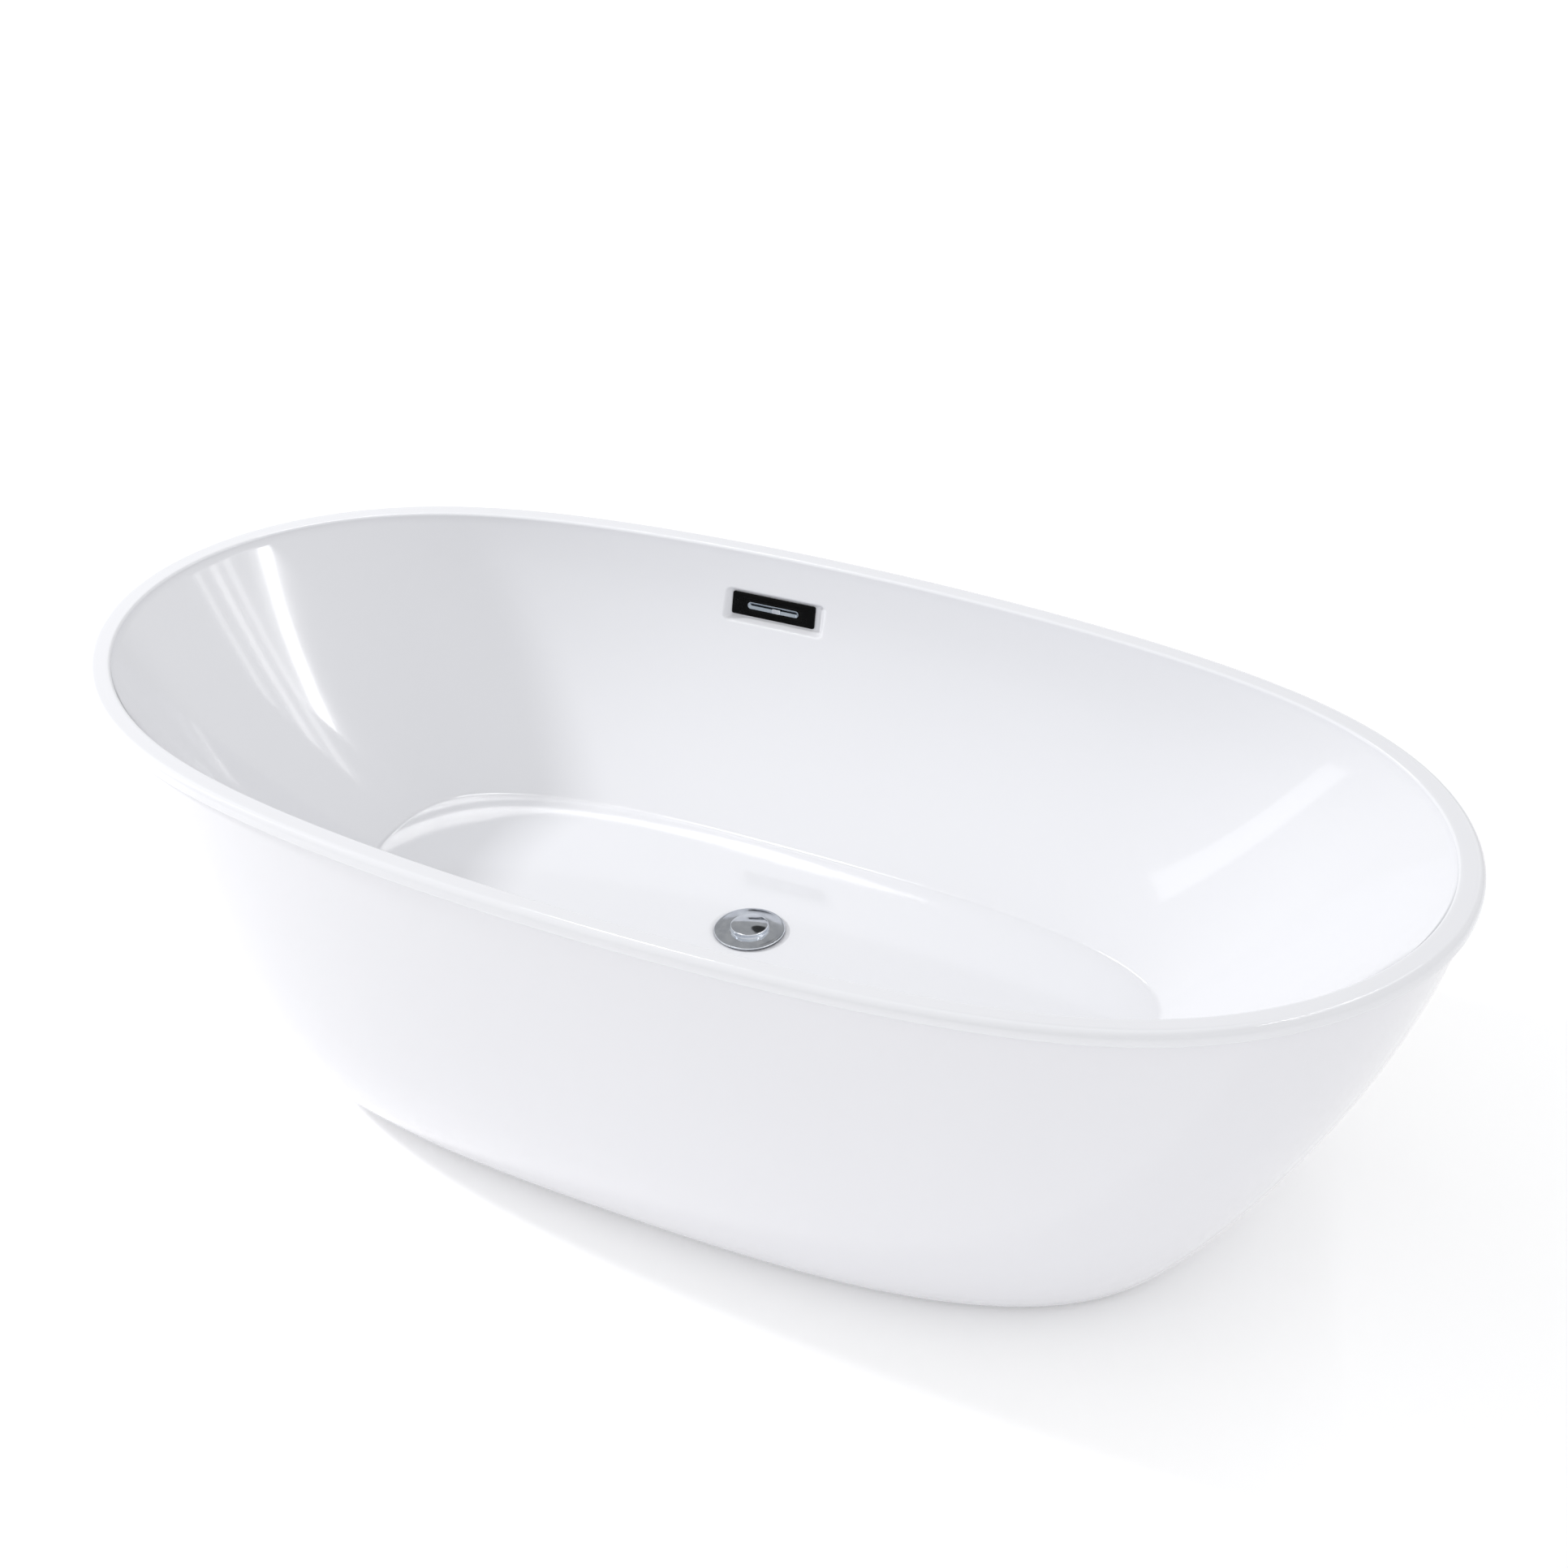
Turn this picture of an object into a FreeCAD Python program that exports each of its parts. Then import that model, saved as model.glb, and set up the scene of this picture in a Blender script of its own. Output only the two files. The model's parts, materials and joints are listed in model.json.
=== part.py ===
"""Freestanding double-wall bathtub with its frame, feet, overflow and pop-up drain.

Millimetres, +Z up, +X along the tub. The origin is on the floor below the middle of the tub.
The overflow is in the +Y wall, and the drain is in the middle of the basin.
"""
import FreeCAD, Part
import math
import os

V = FreeCAD.Vector
UP = V(0, 0, 1)

# Overall size
TUB_LENGTH = 1700.0
TUB_WIDTH = 820.0
TUB_HEIGHT = 500.0
SKIRT_GAP = 4.0             # shadow gap between the skirt and the floor

# Shape of the ovals: how much of the third and fifth harmonics x and y have
RIM_HARMONICS = (-0.018, 0.020, -0.084, 0.0165)
FOOT_HARMONICS = (-0.033, -0.020, -0.033, -0.020)
OVAL_POINTS = 40

# Rim
RIM_WIDTH = 26.0
RIM_THICKNESS = 8.0
LIP_DEPTH = 16.0
LIP_WALL = 4.0
RIM_OUTER_ROUND = 7.0
RIM_INNER_ROUND = 6.0
BOND = 0.6                  # glue line between the shells and what is bonded to them
STIFFENER_BELOW_RIM = (1.0, 30.0)
NOTCH_SIZE = (150.0, 70.0)  # room for the overflow in the rim's stiffener

# Skirt: half sizes at the floor, and the curve that each half size follows on the way up
SKIRT_WALL = 5.0
SKIRT_FOOT_X = 576.0
SKIRT_FOOT_Y = 277.0
SKIRT_INSET = 4.3
SKIRT_TOP = TUB_HEIGHT - RIM_THICKNESS - 0.5
SKIRT_END_CURVE = (0.435, 0.732)
SKIRT_SIDE_CURVE = (0.155, 1.058)
SKIRT_FLANGE_WIDTH = 28.0
SKIRT_FLANGE_THICKNESS = 5.0

# Basin
BASIN_FLOOR_Z = 225.0
BASIN_FLOOR_X = 504.0
BASIN_FLOOR_Y = 173.0
BASIN_WALL = 6.0
BASIN_FLOOR_THICKNESS = 7.5
BASIN_END_CURVE = (0.42, 0.55)
BASIN_SIDE_CURVE = (0.36, 0.78)
BASIN_LEVELS = (0.0, 0.06, 0.14, 0.24, 0.36, 0.5, 0.64, 0.78, 0.9, 1.0)
FLOOR_ROUND = 12.0
SKIRT_LEVELS = (0.0, 0.08, 0.18, 0.3, 0.45, 0.6, 0.75, 0.88, 1.0)

# Layers and frame below the basin
HOLE_CLEARANCE = 1.0
LAYER_THICKNESS = 4.0
LAYER_INSET = 4.0
LAYER_Z = BASIN_FLOOR_Z - BASIN_FLOOR_THICKNESS - LAYER_THICKNESS
BOARD_LENGTH = 920.0
BOARD_WIDTH = 300.0
BOARD_THICKNESS = 15.0
BOARD_Z = LAYER_Z - BOARD_THICKNESS
BOARD_CORNER_R = 60.0
BOARD_HOLE_R = 45.0
TUBE = 30.0
TUBE_WALL = 2.0
SIDE_RAIL_LENGTH = 960.0
SIDE_RAIL_Y = 120.0
SIDE_RAIL_Z = BOARD_Z - TUBE
CROSS_RAIL_LENGTH = 390.0
CROSS_RAIL_Z = SIDE_RAIL_Z - TUBE
CROSS_RAIL_X = (-400.0, 150.0, 400.0)
SCREW_X = (-440.0, -160.0, 60.0, 440.0)
SCREW_SHANK_R = 2.5
SCREW_HEAD_R = 5.0
SCREW_HEAD_HEIGHT = 3.0
SCREW_REACH = 10.0          # how far the board screws go into the board
BRACKET_WIDTH = 24.0
BRACKET_LENGTH = 124.0
BRACKET_THICKNESS = 4.0
BRACKET_Y = 226.0
BRACKET_TAB_HEIGHT = 26.0
BLOCK_SIZE = (46.0, 60.0)
GLUE_LINE = 0.5
BLOCK_BELOW = 10.0          # the glue blocks' reach below and above the bottom of the cross rails
BLOCK_ABOVE = 34.0

# Levelling feet
FOOT_PLACES = ((-400.0, -150.0), (-400.0, 150.0), (400.0, -150.0), (400.0, 150.0), (150.0, 0.0))
STUD_R = 6.0
THREAD_CLEARANCE = 0.05
STUD_BOTTOM = 7.0
STUD_TOP = CROSS_RAIL_Z + TUBE + 17.0
STUD_HOLE_R = STUD_R + 0.6
PAD_R = 25.0
PAD_NECK_R = 12.0
PAD_HEIGHT = 16.0
PAD_BASE = 6.0
PAD_SHOULDER = 3.0
NUT_ACROSS = 19.0
NUT_HEIGHT = 9.5
COLLAR_HEIGHT = 7.0

# Overflow, in the +Y wall: u along the tub, v up the plate, w out through the wall.
# Its recess stands more upright than the wall, so it is deeper at the bottom.
OVERFLOW_X = -143.0
OVERFLOW_Z = 435.0
PLATE_LEAN = 15.0
RECESS_SIZE = (128.0, 40.0)
RECESS_CORNER = 6.0
RECESS_REACH = 20.0         # how far the cutters reach into the basin
RECESS_PAD_SIZE = (144.0, 50.0)
RECESS_PAD_DEPTH = 13.5
PLATE_SIZE = (113.5, 28.5)
PLATE_CORNER = 2.5
PLATE_W = (4.5, 7.5)
SLOT_SIZE = (70.0, 10.0)
SLOT_TRIM_BAND = 3.0
SLOT_TRIM_PROUD = 0.8
SLOT_TRIM_FIT = 0.1
WATER_WAY_CLEARANCE = 1.0
BRIDGE_SIZE = (9.0, 4.0)
BRIDGE_W = 5.2
SCREW_R = 2.0
TRIM_HEAD_R = (2.2, 2.8)
TRIM_HEAD_HEIGHT = 1.6
GASKET_SIZE = (88.0, 38.0)
GASKET_HOLE = (72.0, 16.0)
OVERFLOW_BODY_SIZE = (96.0, 52.0)
OVERFLOW_BODY_DROP = 4.0
OVERFLOW_BODY_W = (15.5, 26.0)
OVERFLOW_BODY_WALL = 4.0
OVERFLOW_BODY_BACK = 2.5
PIPE_R = 11.0
PIPE_WALL = 2.0
PIPE_BEND_R = 55.0
PIPE_NUT_WALL = 2.4
PIPE_NUT_LENGTH = 16.0
PIPE_NUT_ABOVE = 3.0        # how far the upper nut reaches above the pipe's top
PIPE_STOP = 8.0             # from the drain body's wall to the pipe's lower end
PIPE_TOP = V(OVERFLOW_X - 1, 373.0, 394.0)
PIPE_CORNER = V(OVERFLOW_X, 322.0, 150.0)
SPIGOT_ABOVE = 9.5          # how far the spigot reaches above and below the pipe's top
SPIGOT_BELOW = 8.0

# Drain
FLANGE_R = 38.0
FLANGE_THICKNESS = 2.5
GASKET_THICKNESS = 1.5
GASKET_FIT = 0.3
TAIL_R = 22.0
TAIL_BORE_R = 19.5
TAIL_BOTTOM = 165.0
MOUTH_SLOPE = 3.0
SPIDER_Z = 190.0
SPIDER_HEIGHT = 8.0
SPIDER_ARM = 4.0
SPIDER_TURNS = (0, 120, 240)
SPIDER_HUB_WALL = 3.0
CARTRIDGE_R = 8.0
STEM_R = 5.15
CARTRIDGE_BOTTOM = 186.0
CARTRIDGE_TOP = 216.0
CARTRIDGE_FLOOR = 3.0
SPRING_WIRE_R = 0.7
SPRING_COIL_R = 3.6
SPRING_TURNS = 5
SPRING_END_GAP = 0.2
STEM_BOTTOM = 199.0
CAP_R = 42.0
CAP_BOTTOM = BASIN_FLOOR_Z + 1.6
CAP_EDGE = 3.0
CAP_DOME = 6.0
CAP_EDGE_ROUND = 1.5
CAP_PIN_R = 3.0
CAP_PIN_LENGTH = 5.0
SEAL_R_OUT = 31.0
SEAL_R_IN = 26.0
SEAL_PROUD = 1.2
SEAL_GROOVE = 2.0
BODY_R = 28.0
BODY_FLANGE_R = 36.0
BODY_BOTTOM = 122.0
BODY_TOP = LAYER_Z - 3.0
BODY_WALL = 4.0
BODY_FLANGE_THICKNESS = 6.0
THREAD_DEPTH = 3.0          # how far the body's thread reaches below the flange's tail
BRANCH_LENGTH = 20.0
BRANCH_BORE = 38.0
OUTLET_R = 20.0
OUTLET_WALL = 2.0
OUTLET_BOTTOM = 40.0
OUTLET_TOP = 110.0          # end of the plain length that a trap's pipe slides onto
OUTLET_NECK = 0.5           # how much slimmer the neck above the plain length is
SHOULDER_R = 21.5
SHOULDER_Z = OUTLET_TOP + 2.0
COLLAR_R = 24.0
COLLAR_THICKNESS = 4.0
OUTLET_NUT_WALL = 5.0
OUTLET_NUT_ABOVE = 8.0
OUTLET_NUT_GRIPS = 12
GRIP_SIZE = (4.0, 3.0)


# ---- shared shapes ----

def export(name, *solids):
    """Write one node: a single solid, or a group of separate ones."""
    shape = solids[0] if len(solids) == 1 else Part.makeCompound(list(solids))
    shape.exportStep("parts/%s.step" % name)
    print(name, round(shape.Volume / 1000.0, 1), "cm3", "valid" if shape.isValid() else "INVALID")


def oval_point(half_x, half_y, z, harmonics, t):
    """A point of an oval at the angle t; the harmonics fill out or slim the oval's corners."""
    x3, x5, y3, y5 = harmonics
    x = (math.cos(t) + x3 * math.cos(3 * t) + x5 * math.cos(5 * t)) / (1 + x3 + x5)
    y = (math.sin(t) - y3 * math.sin(3 * t) + y5 * math.sin(5 * t)) / (1 + y3 + y5)
    return V(half_x * x, half_y * y, z)


def oval_wire(half_x, half_y, z, harmonics):
    turns = [2.0 * math.pi * i / OVAL_POINTS for i in range(OVAL_POINTS)]
    points = [oval_point(half_x, half_y, z, harmonics, t) for t in turns]
    curve = Part.BSplineCurve()
    curve.interpolate(Points=points, PeriodicFlag=True)
    return Part.Wire(curve.toShape())


def curve_fraction(level, pull):
    """Width fraction at a height fraction, on a quadratic curve pulled towards one point."""
    pull_height, pull_width = pull
    a = 1.0 - 2.0 * pull_height
    b = 2.0 * pull_height
    q = (-b + math.sqrt(b * b + 4.0 * a * level)) / (2.0 * a)
    return 2.0 * q * (1.0 - q) * pull_width + q * q


def between(low, high, fraction):
    return low + (high - low) * fraction


def mixed_harmonics(fraction):
    return tuple(between(f, r, fraction) for f, r in zip(FOOT_HARMONICS, RIM_HARMONICS))


def skirt_half_sizes(level):
    top_x = TUB_LENGTH / 2 - SKIRT_INSET
    top_y = TUB_WIDTH / 2 - SKIRT_INSET
    half_x = between(SKIRT_FOOT_X, top_x, curve_fraction(level, SKIRT_END_CURVE))
    half_y = between(SKIRT_FOOT_Y, top_y, curve_fraction(level, SKIRT_SIDE_CURVE))
    return half_x, half_y


def basin_half_sizes(level):
    top_x = TUB_LENGTH / 2 - RIM_WIDTH
    top_y = TUB_WIDTH / 2 - RIM_WIDTH
    half_x = between(BASIN_FLOOR_X, top_x, curve_fraction(level, BASIN_END_CURVE))
    half_y = between(BASIN_FLOOR_Y, top_y, curve_fraction(level, BASIN_SIDE_CURVE))
    return half_x, half_y


def skirt_hull(inset, bottom=SKIRT_GAP, top=SKIRT_TOP):
    """Everything inside the skirt's outer face, moved inwards by inset."""
    wires = []
    for step in SKIRT_LEVELS:
        z = between(bottom, top, step)
        level = z / SKIRT_TOP
        half_x, half_y = skirt_half_sizes(level)
        wires.append(oval_wire(half_x - inset, half_y - inset, z, mixed_harmonics(level)))
    return Part.makeLoft(wires, True, False)


def basin_hull(outset, drop):
    """Everything inside the basin's inner face, moved outwards and down."""
    wires = []
    for level in BASIN_LEVELS:
        half_x, half_y = basin_half_sizes(level)
        z = between(BASIN_FLOOR_Z, TUB_HEIGHT, level) - drop
        wires.append(oval_wire(half_x + outset, half_y + outset, z, mixed_harmonics(level)))
    return Part.makeLoft(wires, True, False)


def rim_prism(inset, z, height):
    half_x = TUB_LENGTH / 2 - inset
    half_y = TUB_WIDTH / 2 - inset
    wire = oval_wire(half_x, half_y, z, RIM_HARMONICS)
    return Part.Face(wire).extrude(V(0, 0, height))


def edges_at(shape, z):
    """The edges that lie flat at one height."""
    above = [e for e in shape.Edges if e.BoundBox.ZMin > z - 0.01]
    return [e for e in above if e.BoundBox.ZMax < z + 0.01]


def disc(r, z_low, z_high, x=0.0, y=0.0):
    return Part.makeCylinder(r, z_high - z_low, V(x, y, z_low))


def ring(r_out, r_in, z_low, z_high, x=0.0, y=0.0):
    return disc(r_out, z_low, z_high, x, y).cut(disc(r_in, z_low - 1, z_high + 1, x, y))


def block(x_size, y_size, z_low, z_high, x=0.0, y=0.0):
    return Part.makeBox(x_size, y_size, z_high - z_low, V(x - x_size / 2, y - y_size / 2, z_low))


def hexagon(across, z_low, z_high, x=0.0, y=0.0):
    radius = across / math.sqrt(3.0)
    turns = [math.radians(60 * i) for i in range(7)]
    corners = [V(x + radius * math.cos(t), y + radius * math.sin(t), z_low) for t in turns]
    return Part.Face(Part.makePolygon(corners)).extrude(V(0, 0, z_high - z_low))


def box_tube(length, axis, x, y, z_low):
    """Square steel tube lying along axis, open at both ends."""
    inner = TUBE - 2 * TUBE_WALL
    mid = z_low + TUBE / 2
    if axis == "x":
        outer = block(length, TUBE, z_low, z_low + TUBE, x, y)
        hollow = block(length + 2, inner, mid - inner / 2, mid + inner / 2, x, y)
    else:
        outer = block(TUBE, length, z_low, z_low + TUBE, x, y)
        hollow = block(inner, length + 2, mid - inner / 2, mid + inner / 2, x, y)
    return outer.cut(hollow)


# ---- shells ----

def place_on_wall(shape):
    """Turn u, v, w into the tub's frame: u follows the wall, v leans out, w starts on the wall."""
    level = (OVERFLOW_Z - BASIN_FLOOR_Z) / (TUB_HEIGHT - BASIN_FLOOR_Z)
    half_x, half_y = basin_half_sizes(level)
    turn = math.acos(OVERFLOW_X / half_x)
    ends = [oval_point(half_x, half_y, OVERFLOW_Z, mixed_harmonics(level), turn + t) for t in (-0.05, 0.05)]
    along = ends[0] - ends[1]
    placed = shape.copy()
    placed.rotate(V(0, 0, 0), V(1, 0, 0), -PLATE_LEAN)
    placed.rotate(V(0, 0, 0), UP, math.degrees(math.atan2(along.y, along.x)))
    placed.translate((ends[0] + ends[1]) / 2)
    return placed


def wall_slab(size, w_low, w_high, corner):
    """Rounded rectangle facing out of the wall, between two depths."""
    slab = Part.makeBox(size[0], w_high - w_low, size[1], V(-size[0] / 2, w_low, -size[1] / 2))
    upright = [e for e in slab.Edges if abs(e.BoundBox.YLength - (w_high - w_low)) < 0.01]
    return slab.makeFillet(corner, upright)


def wall_slot(length, height, w_low, w_high):
    return wall_slab((length, height), w_low, w_high, height / 2 - 0.01)


def basin_shell():
    rim = rim_prism(0, TUB_HEIGHT - LIP_DEPTH, LIP_DEPTH)
    rim = rim.makeFillet(RIM_OUTER_ROUND, edges_at(rim, TUB_HEIGHT))
    rim = rim.cut(rim_prism(LIP_WALL, TUB_HEIGHT - LIP_DEPTH - 1, LIP_DEPTH + 1 - RIM_THICKNESS))
    recess_pad = place_on_wall(wall_slab(RECESS_PAD_SIZE, -RECESS_REACH, RECESS_PAD_DEPTH, RECESS_CORNER))
    hollow = basin_hull(0, 0)
    hollow = hollow.makeFillet(FLOOR_ROUND, edges_at(hollow, BASIN_FLOOR_Z))
    shell = basin_hull(BASIN_WALL, BASIN_FLOOR_THICKNESS).fuse([rim, recess_pad])
    shell = shell.cut(hollow)
    shell = shell.makeFillet(RIM_INNER_ROUND, inner_rim_edges(shell))
    shell = shell.cut(place_on_wall(wall_slab(RECESS_SIZE, -RECESS_REACH, PLATE_W[1], RECESS_CORNER)))
    extra = 2 * WATER_WAY_CLEARANCE
    water_way = wall_slot(SLOT_SIZE[0] + extra, SLOT_SIZE[1] + extra, 0, 2 * RECESS_PAD_DEPTH)
    shell = shell.cut(place_on_wall(water_way))
    shell = shell.cut(disc(TAIL_R + HOLE_CLEARANCE, LAYER_Z, BASIN_FLOOR_Z + 1))
    seat = BASIN_FLOOR_Z - FLANGE_THICKNESS - GASKET_THICKNESS
    return shell.cut(disc(FLANGE_R + 0.4, seat, BASIN_FLOOR_Z + 1))


def inner_rim_edges(shell):
    inner_length = TUB_LENGTH - 2 * RIM_WIDTH
    return [e for e in edges_at(shell, TUB_HEIGHT) if abs(e.BoundBox.XLength - inner_length) < 1]


def outer_skirt():
    skirt = skirt_hull(0).cut(skirt_hull(SKIRT_WALL, SKIRT_GAP - 2, SKIRT_TOP + 1))
    half_x, half_y = skirt_half_sizes(SKIRT_GAP / SKIRT_TOP)
    reach = SKIRT_WALL + SKIRT_FLANGE_WIDTH
    outer = oval_wire(half_x - 1, half_y - 1, SKIRT_GAP, FOOT_HARMONICS)
    inner = oval_wire(half_x - reach, half_y - reach, SKIRT_GAP, FOOT_HARMONICS)
    flange = Part.Face(outer).cut(Part.Face(inner)).extrude(V(0, 0, SKIRT_FLANGE_THICKNESS))
    return skirt.fuse(flange)


def rim_stiffener():
    """Band of foam and resin that joins the two shells below the rim, notched at the overflow."""
    high, low = [TUB_HEIGHT - RIM_THICKNESS - below for below in STIFFENER_BELOW_RIM]
    band = skirt_hull(SKIRT_WALL + BOND).common(block(TUB_LENGTH, TUB_WIDTH, low, high))
    notch = place_on_wall(wall_slab(NOTCH_SIZE, -RECESS_REACH, 2 * RIM_WIDTH, RECESS_CORNER))
    return band.cut(basin_hull(BASIN_WALL + BOND, BASIN_FLOOR_THICKNESS)).cut(notch)


def floor_layer():
    half_x = BASIN_FLOOR_X - LAYER_INSET
    wire = oval_wire(half_x, BASIN_FLOOR_Y - LAYER_INSET, LAYER_Z, FOOT_HARMONICS)
    layer = Part.Face(wire).extrude(V(0, 0, LAYER_THICKNESS))
    return layer.cut(disc(TAIL_R + HOLE_CLEARANCE, LAYER_Z - 1, BASIN_FLOOR_Z))


def base_board():
    board = block(BOARD_LENGTH, BOARD_WIDTH, BOARD_Z, BOARD_Z + BOARD_THICKNESS)
    corners = [e for e in board.Edges if abs(e.BoundBox.ZLength - BOARD_THICKNESS) < 0.01]
    board = board.makeFillet(BOARD_CORNER_R, corners)
    board = board.cut(disc(BOARD_HOLE_R, BOARD_Z - 1, LAYER_Z + 1))
    for x, y in screw_places():
        board = board.cut(disc(SCREW_SHANK_R, BOARD_Z - 1, BOARD_Z + SCREW_REACH + 1, x, y))
    return board


# ---- frame ----

def screw_places():
    return [(x, y) for x in SCREW_X for y in (-SIDE_RAIL_Y, SIDE_RAIL_Y)]


def side_rail(y):
    rail = box_tube(SIDE_RAIL_LENGTH, "x", 0, y, SIDE_RAIL_Z)
    for x in SCREW_X:
        rail = rail.cut(disc(SCREW_SHANK_R + 0.3, SIDE_RAIL_Z - 1, BOARD_Z + 1, x, y))
    return rail


def cross_rail(x):
    rail = box_tube(CROSS_RAIL_LENGTH, "y", x, 0, CROSS_RAIL_Z)
    for foot_x, foot_y in FOOT_PLACES:
        if foot_x == x:
            rail = rail.cut(disc(STUD_HOLE_R, CROSS_RAIL_Z - 1, SIDE_RAIL_Z + 1, foot_x, foot_y))
    return rail


def board_screws():
    screws = []
    for x, y in screw_places():
        head = disc(SCREW_HEAD_R, SIDE_RAIL_Z - SCREW_HEAD_HEIGHT, SIDE_RAIL_Z, x, y)
        shank = disc(SCREW_SHANK_R, SIDE_RAIL_Z - 1, BOARD_Z + SCREW_REACH, x, y)
        screws.append(head.fuse(shank))
    return screws


def bracket_places():
    return [(x, side) for x in (CROSS_RAIL_X[0], CROSS_RAIL_X[2]) for side in (-1, 1)]


def skirt_brackets():
    """Flat steel straps from the ends of the outer cross rails to the skirt's glue blocks."""
    brackets = []
    for x, side in bracket_places():
        low = CROSS_RAIL_Z - BRACKET_THICKNESS
        strap = block(BRACKET_WIDTH, BRACKET_LENGTH, low, CROSS_RAIL_Z, x, side * BRACKET_Y)
        tab_y = BRACKET_Y + (BRACKET_LENGTH - BRACKET_THICKNESS) / 2
        tab_top = CROSS_RAIL_Z + BRACKET_TAB_HEIGHT
        tab = block(BRACKET_WIDTH, BRACKET_THICKNESS, low, tab_top, x, side * tab_y)
        brackets.append(strap.fuse(tab))
    return brackets


def glue_blocks():
    """Wood blocks bonded inside the skirt, each cut to the skirt's curve."""
    inside = skirt_hull(SKIRT_WALL + GLUE_LINE)
    low, high = CROSS_RAIL_Z - BLOCK_BELOW, CROSS_RAIL_Z + BLOCK_ABOVE
    middle_y = BRACKET_Y + (BRACKET_LENGTH + BLOCK_SIZE[1]) / 2
    blocks = []
    for x, side in bracket_places():
        rough = block(BLOCK_SIZE[0], BLOCK_SIZE[1], low, high, x, side * middle_y)
        blocks.append(rough.common(inside))
    return blocks


# ---- levelling feet ----

def foot_stud(x, y):
    stud = disc(STUD_R, STUD_BOTTOM, STUD_TOP, x, y)
    collar = hexagon(NUT_ACROSS, PAD_HEIGHT, PAD_HEIGHT + COLLAR_HEIGHT, x, y)
    return stud.fuse(collar)


def foot_pad(x, y):
    base = disc(PAD_R, 0, PAD_BASE, x, y)
    cone = Part.makeCone(PAD_R - PAD_SHOULDER, PAD_NECK_R, PAD_HEIGHT - PAD_BASE, V(x, y, PAD_BASE))
    pad = base.fuse(cone)
    return pad.cut(disc(STUD_R, STUD_BOTTOM, PAD_HEIGHT + 1, x, y))


def foot_nuts(x, y):
    """The welded nut on top of the rail and the lock nut below it."""
    bore = STUD_R + THREAD_CLEARANCE
    nuts = []
    for z in (CROSS_RAIL_Z - NUT_HEIGHT, CROSS_RAIL_Z + TUBE):
        nut = hexagon(NUT_ACROSS, z, z + NUT_HEIGHT, x, y)
        nuts.append(nut.cut(disc(bore, z - 1, z + NUT_HEIGHT + 1, x, y)))
    return nuts


# ---- overflow ----

def overflow_plate():
    plate = wall_slab(PLATE_SIZE, PLATE_W[0], PLATE_W[1], PLATE_CORNER)
    hole = wall_slot(SLOT_SIZE[0], SLOT_SIZE[1], PLATE_W[0] - 1, PLATE_W[1] + 1)
    return place_on_wall(plate.cut(hole))


def overflow_slot_trim():
    """Chrome ring lining the slot, with a bridge across its middle for the screw."""
    low, high = PLATE_W[0] - SLOT_TRIM_PROUD, RECESS_PAD_DEPTH - 0.5
    lining = wall_slot(SLOT_SIZE[0] - 2 * SLOT_TRIM_FIT, SLOT_SIZE[1] - 2 * SLOT_TRIM_FIT, low, high)
    inner_length = SLOT_SIZE[0] - 2 * SLOT_TRIM_BAND
    inner_height = SLOT_SIZE[1] - 2 * SLOT_TRIM_BAND + 2
    lining = lining.cut(wall_slot(inner_length, inner_height, low - 1, high + 1))
    height = SLOT_SIZE[1] - 2
    corner = V(-BRIDGE_SIZE[0] / 2, BRIDGE_W, -height / 2)
    bridge = Part.makeBox(BRIDGE_SIZE[0], BRIDGE_SIZE[1], height, corner)
    return place_on_wall(lining.fuse(bridge).cut(screw_hole(SCREW_R + 0.15)))


def screw_hole(radius):
    return Part.makeCylinder(radius, OVERFLOW_BODY_W[1], V(0, 0, 0), V(0, 1, 0))


def overflow_screw():
    """Screw through the trim's bridge into the body's post."""
    start = BRIDGE_W - TRIM_HEAD_HEIGHT - THREAD_CLEARANCE
    head = Part.makeCone(TRIM_HEAD_R[0], TRIM_HEAD_R[1], TRIM_HEAD_HEIGHT, V(0, start, 0), V(0, 1, 0))
    length = OVERFLOW_BODY_W[1] - BRIDGE_W - 3
    shank = Part.makeCylinder(SCREW_R, length, V(0, BRIDGE_W - 0.5, 0), V(0, 1, 0))
    return place_on_wall(head.fuse(shank))


def overflow_gasket():
    gasket = wall_slab(GASKET_SIZE, RECESS_PAD_DEPTH, OVERFLOW_BODY_W[0], RECESS_CORNER)
    hole = wall_slot(GASKET_HOLE[0], GASKET_HOLE[1], 0, OVERFLOW_BODY_W[1])
    return place_on_wall(gasket.cut(hole))


def overflow_body():
    """Shallow housing behind the wall, closed at the back, with a spigot at its foot."""
    low, high = OVERFLOW_BODY_W
    length, height = OVERFLOW_BODY_SIZE
    body = wall_slab(OVERFLOW_BODY_SIZE, low, high, RECESS_CORNER)
    inner_size = (length - 2 * OVERFLOW_BODY_WALL, height - 2 * OVERFLOW_BODY_WALL)
    body = body.cut(wall_slab(inner_size, low - 1, high - OVERFLOW_BODY_BACK, OVERFLOW_BODY_WALL))
    body.translate(V(0, 0, -OVERFLOW_BODY_DROP))
    post = Part.makeCylinder(2 * SCREW_R, high - low, V(0, low, 0), V(0, 1, 0))
    body = place_on_wall(body.fuse(post).cut(screw_hole(SCREW_R + 0.02)))
    upward = pipe_upward()
    foot = PIPE_TOP - upward * SPIGOT_BELOW
    spigot = Part.makeCylinder(PIPE_R + PIPE_WALL, SPIGOT_ABOVE + SPIGOT_BELOW, foot, upward)
    bore = Part.makeCylinder(PIPE_R, 2 * SPIGOT_ABOVE + SPIGOT_BELOW, foot - upward, upward)
    return body.fuse(spigot).cut(bore)


def pipe_upward():
    """Direction of the pipe's run up the gap between the walls."""
    return (PIPE_TOP - PIPE_CORNER).normalize()


def pipe_inward():
    """Level direction from the pipe's bend in to the drain."""
    return V(-PIPE_CORNER.x, -PIPE_CORNER.y, 0).normalize()


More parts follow.
